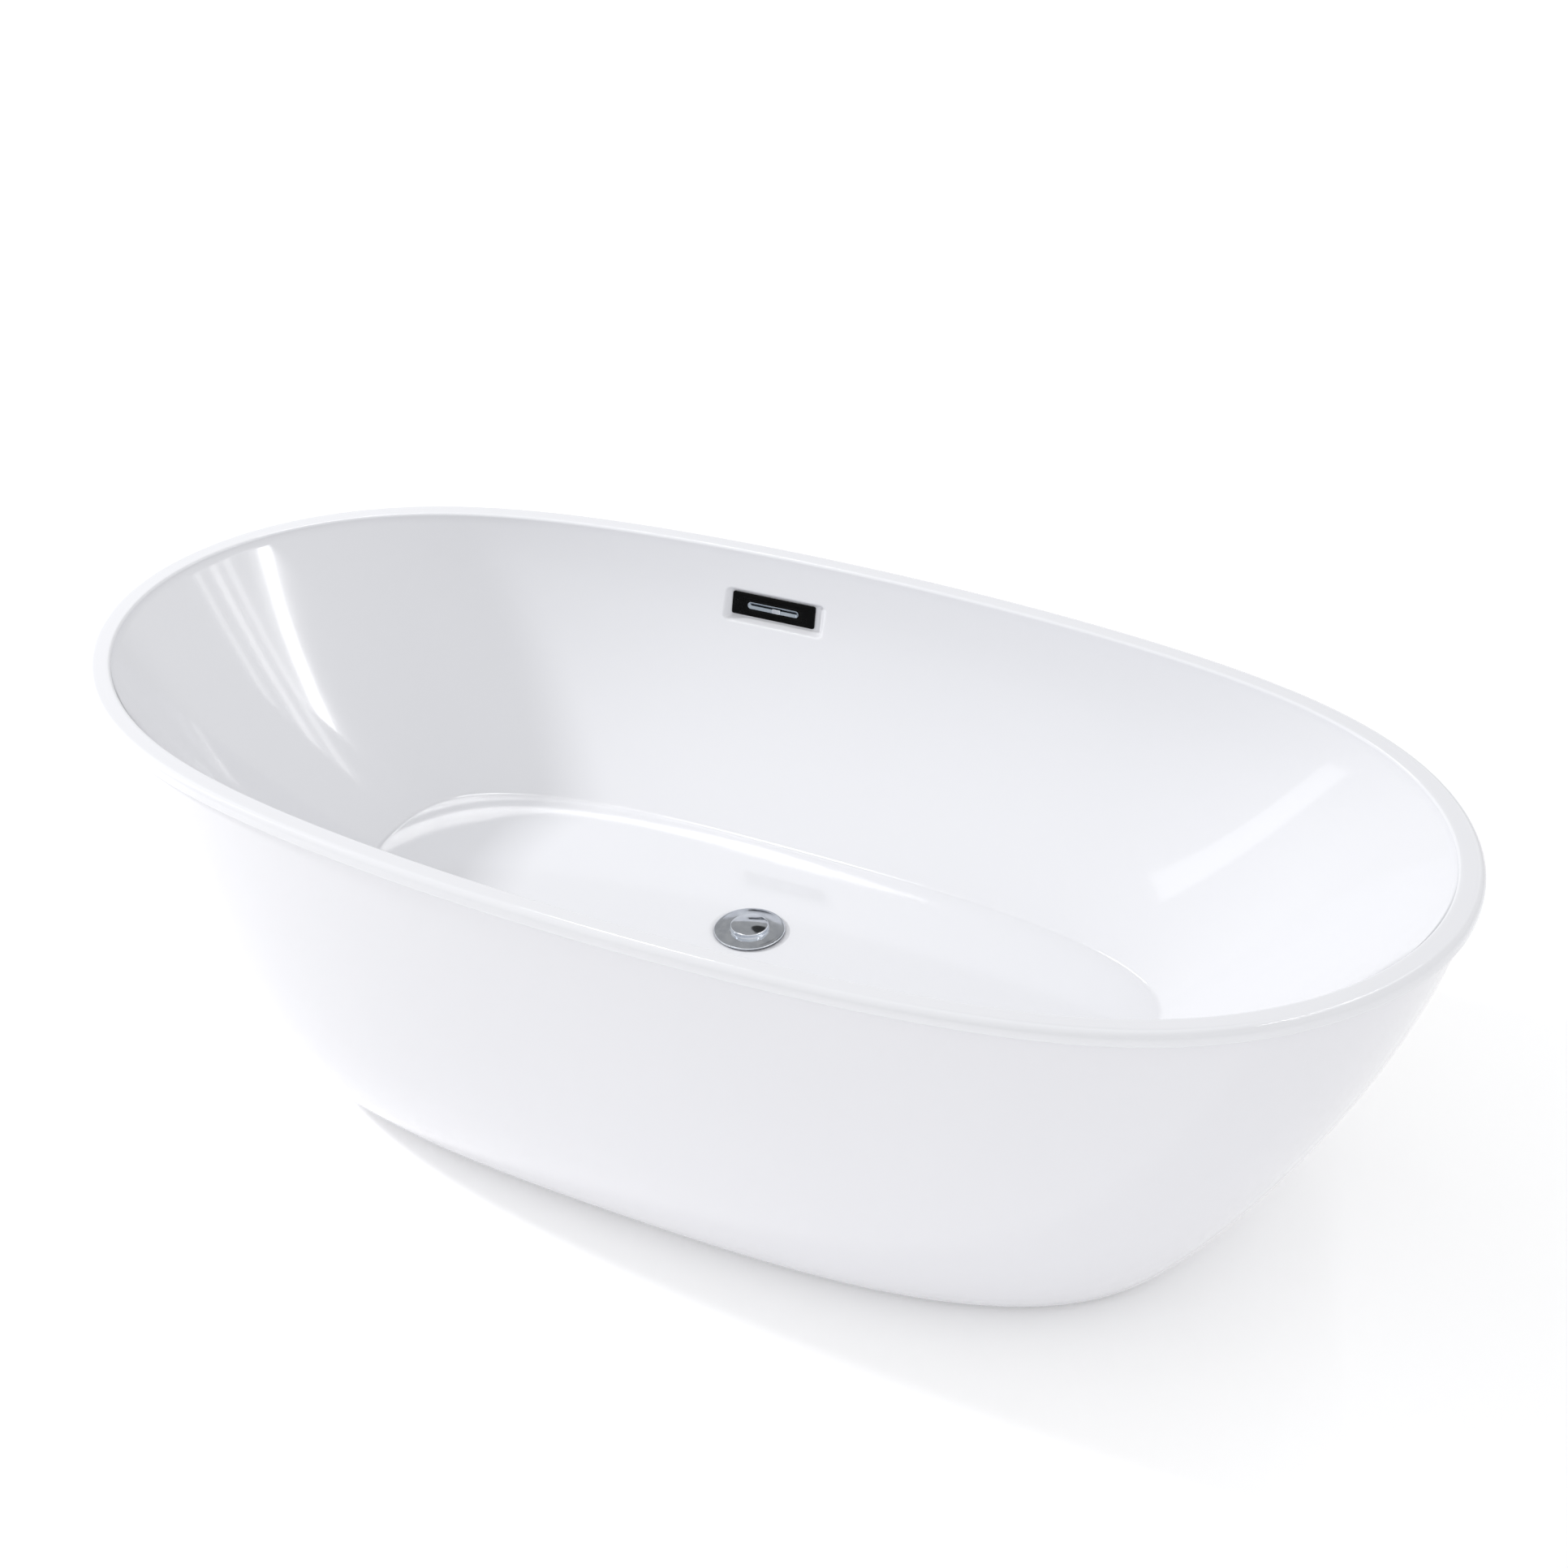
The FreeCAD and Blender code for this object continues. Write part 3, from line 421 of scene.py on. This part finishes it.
def height_fraction(z):
    """Height as a fraction of the basin's depth, from its floor to its rim."""
    return (z - FLOOR_TOP) / BASIN_DEPTH


def turn_at(x):
    """Angle round the tub, on the +Y side, whose basin ring passes near this x."""
    return math.acos(x / (HALF_LENGTH - RIM_WIDTH))


def wall_direction(place):
    """Unit vector along the basin's wall at a place on the +Y side."""
    turn = turn_at(place.x)
    pair = np.array([turn - CHORD_HALF_TURN, turn + CHORD_HALF_TURN])
    ends = basin_ring(pair, height_fraction(place.z))
    return Vector(ends[0] - ends[1]).normalized()


PLATE_LEAN = math.radians(15)
PLATE_MIDDLE = (PLATE_LOW + PLATE_HIGH) / 2
PLATE_DEPTH = (4.5 * MM, 7.5 * MM)      # front and back of the plate, in the wall
U = wall_direction(PLATE_MIDDLE)
W_OUT = Matrix.Rotation(-PLATE_LEAN, 3, U) @ Vector((0, 0, 1)).cross(U)
V_UP = U.cross(W_OUT)
OVERFLOW = PLATE_MIDDLE - W_OUT * (sum(PLATE_DEPTH) / 2)


def on_wall(loop, w):
    """Place a loop of (u, v) at depth w in the wall."""
    return np.array([tuple(OVERFLOW + U * u + V_UP * v + W_OUT * w) for u, v in loop])


# ---- basin ----

RECESS_FLOOR = (58 * MM, 15 * MM)       # half sizes of the recess's flat back
RECESS_SLOPE = (12 * MM, 6.5 * MM)      # widths of its sloping edges
RECESS_SHIFT = (4 * MM, -1.5 * MM)      # the recess's middle from the plate's
RECESS_MARGIN = 4 * MM
RECESS_HALF_TURN = 0.115
RECESS_COLUMNS = 150
BOSS_DEPTH = 13.5 * MM
BOSS_GROWTH = 8 * MM
FLOOR_SETBACK = 4.5 * MM
FLOOR_SETBACK_RISE = 0.53     # height gained per length of wall just above the floor
DRAIN_HOLE_R = 23 * MM
DRAIN_SEAT_DEPTH = 4 * MM
DRAIN_CLEARANCE = 0.4 * MM
DRAIN_CHAMFER = 0.5 * MM
INNER_ROUND = 4 * MM          # between the inner wall and the rim's top
OUTER_ROUND = 9 * MM          # between the rim's top and its outer edge
LIP_DEPTH = 16 * MM
LIP_WALL = 4 * MM
LIP_ROOT = 8 * MM             # depth at which the lip's inside ends
LIP_CHAMFER = 1.2 * MM


def columns():
    """Angles round the tub, closely spaced across the overflow recess."""
    middle = turn_at(OVERFLOW.x)
    start, end = middle - RECESS_HALF_TURN, middle + RECESS_HALF_TURN
    dense = np.linspace(start, end, RECESS_COLUMNS)
    rest = np.linspace(end, start + 2 * math.pi, COLUMNS)[1:-1]
    return np.concatenate([dense, rest])


def press_recess(ring, depth, grow):
    """Push the points near the overflow out to one flat plane, with soft sloping edges."""
    offset = ring - np.array(OVERFLOW)
    along = np.abs(offset @ np.array(U) - RECESS_SHIFT[0])
    across = np.abs(offset @ np.array(V_UP) - RECESS_SHIFT[1])
    u = np.maximum(along - RECESS_FLOOR[0] - grow, 0) / RECESS_SLOPE[0]
    v = np.maximum(across - RECESS_FLOOR[1] - grow, 0) / RECESS_SLOPE[1]
    near = np.clip(1 - np.hypot(u, v), 0, 1)
    near = near * near * (3 - 2 * near)
    near[ring[:, 1] < 0] = 0
    push = np.maximum(depth - offset @ np.array(W_OUT), 0) * near
    return ring + np.outer(push, np.array(W_OUT))


def wall_levels(start, top):
    """Height fractions: close above the floor and across the recess."""
    reach = RECESS_FLOOR[1] + RECESS_SLOPE[1] + RECESS_MARGIN
    low, high = height_fraction(OVERFLOW.z - reach), height_fraction(OVERFLOW.z + reach)
    below = lerp(start, low, np.linspace(0, 1, 36) ** 1.5)
    across = np.linspace(low, high, 56)
    above = np.linspace(high, top, 6)
    return np.concatenate([below[:-1], across, above[1:]])


def floor_rings(edge, hole_ring, steps):
    """Rings of a flat floor between its hole and its edge, the last ones close to the edge."""
    fractions = [*np.linspace(0, 1, steps + 1)[1:-1] ** 1.4, 0.985, 0.997]
    return [lerp(hole_ring, edge, fraction) for fraction in fractions]


def floor_corner(turns, corner_level):
    """Small round where the floor turns up into the wall."""
    edge = basin_ring(turns, 0)
    inner = basin_ring(turns, 0, -FLOOR_SETBACK)
    wall = basin_ring(turns, corner_level)
    blend = np.linspace(0, 1, 9)
    return [(1 - b) ** 2 * inner + 2 * b * (1 - b) * edge + b * b * wall for b in blend]


def drain_seat(turns):
    """Rings of the sunken seat of the drain flange, from its hole out to the basin's floor."""
    seat_z = FLOOR_TOP - DRAIN_SEAT_DEPTH
    seat_r = FLANGE_HIGH.x + DRAIN_CLEARANCE
    mouth_r = seat_r + DRAIN_CHAMFER
    circles = [(DRAIN_HOLE_R, seat_z), (seat_r, seat_z), (seat_r, FLOOR_TOP - DRAIN_CHAMFER),
               (mouth_r, FLOOR_TOP)]
    return [oval(turns, radius, radius, z) for radius, z in circles]


def inner_round(turns, round_level, steps=7):
    """Rings of the round from the top of the inner wall to the rim's flat top."""
    rings = []
    for step in range(1, steps + 1):
        turn = QUARTER_TURN * step / steps
        outset, rise = INNER_ROUND * (1 - math.cos(turn)), INNER_ROUND * math.sin(turn)
        rings.append(basin_ring(turns, round_level, outset, -rise))
    return rings


def basin():
    """One skin: drain seat, floor, wall with its recess, rim, lip, and the back of it all."""
    turns = columns()
    rings = drain_seat(turns)
    corner_level = FLOOR_SETBACK * FLOOR_SETBACK_RISE / BASIN_DEPTH
    corner = floor_corner(turns, corner_level)
    rings += floor_rings(corner[0], rings[-1], 14)
    rings += corner
    round_level = height_fraction(RIM_TOP - INNER_ROUND)
    levels = wall_levels(corner_level, round_level)
    for level in levels[1:]:
        rings.append(press_recess(basin_ring(turns, level), PLATE_DEPTH[1], 0))
    rings += inner_round(turns, round_level)
    rings += rim_rings(turns, rings[-1])
    for level in (*np.linspace(1, levels[-1], 4), *levels[::-1][1:]):
        back = basin_ring(turns, level, BASIN_WALL, FLOOR_THICKNESS)
        rings.append(press_recess(back, BOSS_DEPTH, BOSS_GROWTH))
    under = oval(turns, DRAIN_HOLE_R, DRAIN_HOLE_R, FLOOR_TOP - FLOOR_THICKNESS)
    rings += floor_rings(rings[-1], under, 8)[::-1]
    rings.append(under)
    piece = ring_mesh("basin_moulding", rings)
    cut_slot(piece)
    return stand_for(piece, "basin_shell", "tub", "acrylic_white")


def rim_ring(turns, inset, drop=0.0):
    """Ring of the rim's outer edge, shrunk inwards and lowered from the top."""
    return oval(turns, HALF_LENGTH - inset, HALF_WIDTH - inset, RIM_TOP - drop, RIM_HARMONICS)


def rim_rings(turns, inner_edge, top_steps=6, round_steps=10):
    """Flat top, rounded outer edge, and the lip that hides the skirt's top."""
    rings = []
    shoulder = rim_ring(turns, OUTER_ROUND)
    for step in range(1, top_steps):
        ring = lerp(inner_edge, shoulder, step / top_steps)
        ring[:, 2] = RIM_TOP
        rings.append(ring)
    for step in range(round_steps + 1):
        turn = QUARTER_TURN * (1 - step / round_steps)
        inset, drop = OUTER_ROUND * (1 - math.cos(turn)), OUTER_ROUND * (1 - math.sin(turn))
        rings.append(rim_ring(turns, inset, drop))
    lip = [
        (0, LIP_DEPTH - LIP_CHAMFER), (LIP_CHAMFER * 0.3, LIP_DEPTH - LIP_CHAMFER * 0.3),
        (LIP_CHAMFER, LIP_DEPTH), (LIP_WALL - LIP_CHAMFER, LIP_DEPTH),
        (LIP_WALL, LIP_DEPTH - LIP_CHAMFER), (LIP_WALL, LIP_ROOT),
    ]
    return rings + [rim_ring(turns, inset, drop) for inset, drop in lip]


WATER_SLOT = (36 * MM, 5.9 * MM, 5.8 * MM)      # half length, half height, corner
CUT_DEPTHS = (3 * MM, 30 * MM)                  # well before and well behind the recess's back


def cut_slot(piece):
    """Open the water slot through the recess's back."""
    loop = rounded_rectangle(*WATER_SLOT)
    cutter = ring_mesh("slot_cutter", [on_wall(loop, w) for w in CUT_DEPTHS], closed=False)
    close_ends(cutter, len(loop))
    modifier = piece.modifiers.new("slot", "BOOLEAN")
    modifier.operation = "DIFFERENCE"
    modifier.solver = "EXACT"
    modifier.object = cutter
    apply_modifiers(piece)
    bpy.data.objects.remove(cutter, do_unlink=True)


# ---- skirt ----

FOOT_ROUND = 2.5 * MM
FOOT_FLANGE_WIDTH = 33 * MM
FOOT_FLANGE_THICKNESS = 5 * MM
FOOT_INNER_BEVEL = (5 * MM, 6 * MM)     # along the flange and up the wall


def skirt():
    """Outer hull, and inside it the wall's back and a flange that turns inwards at the foot."""
    turns = np.linspace(0, 2 * math.pi, COLUMNS, endpoint=False)
    bottom, top = SKIRT_LOW.z, SKIRT_HIGH.z
    flange_top = bottom + FOOT_FLANGE_THICKNESS
    rings = [skirt_ring(turns, bottom, FOOT_FLANGE_WIDTH), skirt_ring(turns, bottom, FOOT_ROUND)]
    steps = 6
    for step in range(1, steps):
        turn = QUARTER_TURN * step / steps
        rise, inset = FOOT_ROUND * (1 - math.cos(turn)), FOOT_ROUND * (1 - math.sin(turn))
        rings.append(skirt_ring(turns, bottom + rise, inset))
    rings += [skirt_ring(turns, z) for z in np.linspace(bottom + FOOT_ROUND, top, 60)]
    inner_heights = np.linspace(top, flange_top + FOOT_INNER_BEVEL[1], 24)
    rings += [skirt_ring(turns, z, SKIRT_WALL) for z in inner_heights]
    rings.append(skirt_ring(turns, flange_top, SKIRT_WALL + FOOT_INNER_BEVEL[0]))
    rings.append(skirt_ring(turns, flange_top, FOOT_FLANGE_WIDTH))
    piece = ring_mesh("skirt_moulding", rings)
    # The skirt takes the slightly darker acrylic copy, which is painted shade.
    return stand_for(piece, "outer_skirt", "tub", "acrylic_white_skirt")


# ---- pop-up plug ----

CAP_STEPS = 128
CAP_EDGE_R = 1.0 * MM
CAP_FLANGE_Z = 1.9 * MM
CAP_FLANGE_RISE = 0.6 * MM
CAP_RELIEF = (8 * MM, 0.6 * MM)     # radius and height of the hollow under the cap
BUTTON_SHARE = 0.535                # the button's radius, as a share of the cap's
BUTTON_GAP = 0.9 * MM
BUTTON_SHOULDER = 1.1 * MM
BUTTON_SHOULDER_Z = 7.5 * MM


def plug_cap():
    """Wide, nearly flat chrome flange with a rounded edge and a raised round button."""
    height = CAP_HIGH.z - CAP_LOW.z
    edge = CAP_HIGH.x - CAP_EDGE_R
    relief_r, relief_z = CAP_RELIEF
    profile = [(0, relief_z), (relief_r, relief_z), (relief_r, 0.0), (edge, 0.0)]
    profile += arc(edge, CAP_EDGE_R, CAP_EDGE_R, -75, 80, 11)
    button = BUTTON_SHARE * CAP_HIGH.x
    for f in np.linspace(0.06, 1, 10):
        z = CAP_FLANGE_Z + CAP_FLANGE_RISE * math.sin(f * QUARTER_TURN)
        profile.append((lerp(edge, button + BUTTON_GAP, f), z))
    foot = CAP_FLANGE_Z + CAP_FLANGE_RISE
    profile += [(button + BUTTON_GAP / 3, foot - 0.2 * MM), (button, foot + 0.3 * MM)]
    top_r = button - BUTTON_SHOULDER
    profile += arc(top_r, BUTTON_SHOULDER_Z - BUTTON_SHOULDER, BUTTON_SHOULDER, 5, 80, 8)
    crown = height - BUTTON_SHOULDER_Z
    for f in np.linspace(0.06, 0.94, 14):
        profile.append((top_r * (1 - f), BUTTON_SHOULDER_Z + crown * math.sin(f * QUARTER_TURN)))
    profile.append((0, height))
    piece = lathe("plug_mushroom", profile, CAP_STEPS, CAP_LOW.z)
    return stand_for(piece, "plug_cap", "plug", "chrome")


# ---- overflow ----

PLATE_HALF = (56.75 * MM, 14.25 * MM)
PLATE_ROUNDING = 0.7 * MM
SLOT_HALF = (35.3 * MM, 4.6 * MM)
TRIM_PROUD = 0.8 * MM           # the lining's lip, in front of the plate
TRIM_CLEARANCE = 0.1 * MM
TRIM_END = BOSS_DEPTH - 0.5 * MM
WATER_WAY = 1.7 * MM
TAB_PROUD = 1.6 * MM
TAB_MIDDLE = (4.5 * MM, -1.6 * MM)


def overflow_plate():
    """Black plate with a fine rounded edge and a slot for the chrome lining."""
    half_u, half_v = PLATE_HALF
    slot_u, slot_v = SLOT_HALF
    front, back = PLATE_DEPTH
    rounding = PLATE_ROUNDING
    steps = [       # half length, half height, corner in mm, depth
        (half_u, half_v, 2.5, back), (half_u, half_v, 2.5, front + rounding),
        (half_u - 0.2 * MM, half_v - 0.2 * MM, 2.3, front + 0.2 * MM),
        (half_u - rounding, half_v - rounding, 1.8, front),
        (slot_u + 8 * MM, slot_v + 4 * MM, 3.5, front),
        (slot_u + 0.4 * MM, slot_v + 0.4 * MM, 4.9, front),
        (slot_u, slot_v, 4.5, front + 0.4 * MM), (slot_u, slot_v, 4.5, back),
    ]
    rings = [on_wall(rounded_rectangle(u, v, corner * MM), w) for u, v, corner, w in steps]
    piece = ring_mesh("overflow_faceplate", rings)
    return stand_for(piece, "overflow_plate", "tub", "black_gloss")


def slot_trim():
    """Chrome funnel lining the slot: rolled lip, sloped walls and a narrow water way."""
    lip = PLATE_DEPTH[0] - TRIM_PROUD
    outer_u, outer_v = (half - TRIM_CLEARANCE for half in SLOT_HALF)
    steps = [       # inset and upward shift in mm, depth
        (0.0, 0.0, TRIM_END), (0.0, 0.0, lip + 0.9 * MM), (0.1, 0.0, lip + 0.35 * MM),
        (0.4, 0.0, lip), (0.9, 0.0, lip + 0.1 * MM), (1.4, 0.0, lip + 0.5 * MM),
        (2.6, 0.3, lip + 1.3 * MM), (3.6, 0.8, lip + 2.0 * MM), (3.9, 1.0, lip + 2.6 * MM),
        (3.9, 1.0, TRIM_END),
    ]
    rings = []
    for inset, raised, w in steps:
        half_v = max(outer_v - inset * MM, WATER_WAY / 2)
        loop = rounded_rectangle(outer_u - inset * MM, half_v, half_v - 0.05 * MM)
        rings.append(on_wall(loop + np.array([0, raised * MM]), w))
    piece = ring_mesh("overflow_slot_lining", rings)
    # The lining wears the darker chrome copy, which is painted shade inside the slot.
    return stand_for(piece, "overflow_slot_trim", "tub", "chrome", "chrome_painted_shade")


def slot_tab():
    """Small chrome tab on the slot, over the fixing screw that it stands for."""
    face = PLATE_DEPTH[0] - TAB_PROUD
    steps = [       # half length, half height, corner and depth behind the face, in mm
        (5.6, 2.6, 1.2, 4.0), (5.9, 2.9, 1.5, 1.2), (5.7, 2.7, 1.4, 0.4), (5.0, 2.1, 1.2, 0.0),
    ]
    rings = []
    for half_u, half_v, corner, depth in steps:
        loop = rounded_rectangle(half_u * MM, half_v * MM, corner * MM) + np.array(TAB_MIDDLE)
        rings.append(on_wall(loop, face + depth * MM))
    piece = ring_mesh("overflow_tab", rings, closed=False)
    close_ends(piece, len(rings[0]))
    return stand_for(piece, "overflow_screw", "tub", "chrome")


# ---- camera, floor and lights ----

SENSOR_MM = 36.0
LENS_MM = 70.584
CAMERA_PLACE = (1.5112, -2.5370, 2.3113)
CAMERA_TURNS = (29.87, 32.54, -2.21)     # azimuth, downward pitch, roll in degrees
CLIP_END = 60
AMBIENT = 0.94
HORIZON_BAND = (6, 22)                   # elevations, in degrees
HORIZON_STRENGTH = 0.70
PATCH_SOFTNESS = 1.25                    # a patch's outer radius over its inner one
FLOOR_SIDE = 30.0
FLOOR_GLOW = 0.14


def camera():
    yaw, pitch, roll = (math.radians(a) for a in CAMERA_TURNS)
    level_reach = math.cos(pitch)
    ahead = Vector((-math.sin(yaw) * level_reach, math.cos(yaw) * level_reach, -math.sin(pitch)))
    level = Vector((math.cos(yaw), math.sin(yaw), 0))
    above = level.cross(ahead)
    right = level * math.cos(roll) + above * math.sin(roll)
    up = above * math.cos(roll) - level * math.sin(roll)
    data = bpy.data.cameras.new("camera")
    data.sensor_width = SENSOR_MM
    data.lens = LENS_MM
    data.clip_end = CLIP_END
    item = bpy.data.objects.new("camera", data)
    matrix = Matrix((right, up, -ahead)).transposed().to_4x4()
    matrix.translation = Vector(CAMERA_PLACE)
    item.matrix_world = matrix
    bpy.context.scene.collection.objects.link(item)
    bpy.context.scene.camera = item


def direction(azimuth, elevation):
    """Unit vector from an azimuth about +Z and an elevation, in degrees."""
    a, e = math.radians(azimuth), math.radians(elevation)
    return Vector((math.cos(e) * math.cos(a), math.cos(e) * math.sin(a), math.sin(e)))


def softbox(name, aim, seen_at, distance, size, power, lights=True, reflects=True):
    """Rectangular light facing its aim, seen from there at an azimuth and elevation.

    One that only reflects makes a highlight and leaves the shading alone; one that only lights
    does the opposite.
    """
    data = bpy.data.lights.new(name, "AREA")
    data.shape = "RECTANGLE"
    data.size, data.size_y = size
    data.energy = power
    item = bpy.data.objects.new(name, data)
    item.location = Vector(aim) + direction(*seen_at) * distance
    item.rotation_euler = (Vector(aim) - item.location).to_track_quat("-Z", "Y").to_euler()
    item.visible_diffuse = lights
    item.visible_glossy = reflects
    bpy.context.scene.collection.objects.link(item)


def multiplied(tree, light, mask):
    """The light's level times the mask's result."""
    product = tree.nodes.new("ShaderNodeMath")
    product.operation = "MULTIPLY"
    tree.links.new(light, product.inputs[0])
    tree.links.new(mask.outputs["Result"], product.inputs[1])
    return product.outputs[0]


def soft_step(tree, value, start, end, low, high):
    """Smooth change from low to high as a value goes from start to end."""
    step = tree.nodes.new("ShaderNodeMapRange")
    step.interpolation_type = "SMOOTHSTEP"
    step.inputs["From Min"].default_value = start
    step.inputs["From Max"].default_value = end
    step.inputs["To Min"].default_value = low
    step.inputs["To Max"].default_value = high
    tree.links.new(value, step.inputs["Value"])
    return step


def dim_horizon(tree, light, strength):
    """Dim the room near the horizon, so that the tub's edges stand out from it."""
    place = tree.nodes.new("ShaderNodeTexCoord")
    parts = tree.nodes.new("ShaderNodeSeparateXYZ")
    tree.links.new(place.outputs["Generated"], parts.inputs[0])
    low, high = (math.sin(math.radians(elevation)) for elevation in HORIZON_BAND)
    return multiplied(tree, light, soft_step(tree, parts.outputs["Z"], low, high, strength, 1.0))


def dark_patch(tree, light, azimuth, elevation, radius, strength):
    """Dim a round, soft-edged part of the room, which gives the chrome something to show."""
    place = tree.nodes.new("ShaderNodeTexCoord")
    dot = tree.nodes.new("ShaderNodeVectorMath")
    dot.operation = "DOT_PRODUCT"
    dot.inputs[1].default_value = direction(azimuth, elevation)
    tree.links.new(place.outputs["Generated"], dot.inputs[0])
    outer, inner = (math.cos(math.radians(radius * reach)) for reach in (PATCH_SOFTNESS, 1))
    mask = soft_step(tree, dot.outputs["Value"], outer, inner, 1.0, strength)
    return multiplied(tree, light, mask)


def studio_world():
    """White room, dimmer near the horizon and in two patches that the chrome reflects."""
    world = bpy.data.worlds.new("studio")
    world.use_nodes = True
    tree = world.node_tree
    background = tree.nodes["Background"]
    background.inputs["Color"].default_value = (1, 1, 1, 1)
    level = tree.nodes.new("ShaderNodeValue")
    level.outputs[0].default_value = AMBIENT
    light = dim_horizon(tree, level.outputs[0], HORIZON_STRENGTH)
    light = dark_patch(tree, light, azimuth=113, elevation=43, radius=4, strength=0.1)
    light = dark_patch(tree, light, azimuth=121, elevation=38, radius=17, strength=0.45)
    tree.links.new(light, background.inputs["Strength"])
    bpy.context.scene.world = world


def studio_floor():
    """Wide pale floor that glows a little, which keeps the shadows on it pale."""
    paint = Shades("studio_floor", (0.96, 0.96, 0.96), 0.6)
    paint.link(paint.spread(paint.noise(3.0, 2), 0.55, 0.65), "Roughness")
    paint.set("Specular IOR Level", 0.2)
    paint.set("Emission Color", (1, 1, 1, 1))
    paint.set("Emission Strength", FLOOR_GLOW)
    corners = [(x * FLOOR_SIDE, y * FLOOR_SIDE, 0) for x, y in ((-1, -1), (1, -1), (1, 1), (-1, 1))]
    floor = mesh_object("studio_floor", corners, [(0, 1, 2, 3)])
    floor.data.materials.append(paint.material)


RIM_END = (-0.8, 0, 0.5)
RIGHT_WALL = (0.55, 0.2, 0.38)
LEFT_WALL = (-0.70, 0.09, 0.40)
DRAIN = (0, 0, 0.23)


def studio():
    """White room, one small key light low over the -X end, and softboxes for the reflections."""
    bpy.context.scene.view_settings.view_transform = "Standard"
    studio_world()
    studio_floor()
    softbox("key", RIM_END, (-174, 30), 4.5, (0.35, 0.35), 145, reflects=False)
    softbox("key_panel", RIGHT_WALL, (-158, 27), 4.0, (0.5, 2.2), 4, lights=False)
    softbox("window", DRAIN, (138, 56), 3.0, (0.35, 0.5), 4, lights=False)
    softbox("strip", LEFT_WALL, (20, 49), 3.0, (1.9, 0.05), 4)
    for elevation, power in ((46.6, 0.9), (45.2, 1.1), (43.4, 0.7)):
        softbox("faint_strip", LEFT_WALL, (26, elevation), 3.0, (2.4, 0.03), power, lights=False)


finish_cad_nodes()
basin()
skirt()
plug_cap()
overflow_plate()
slot_trim()
slot_tab()
camera()
studio()
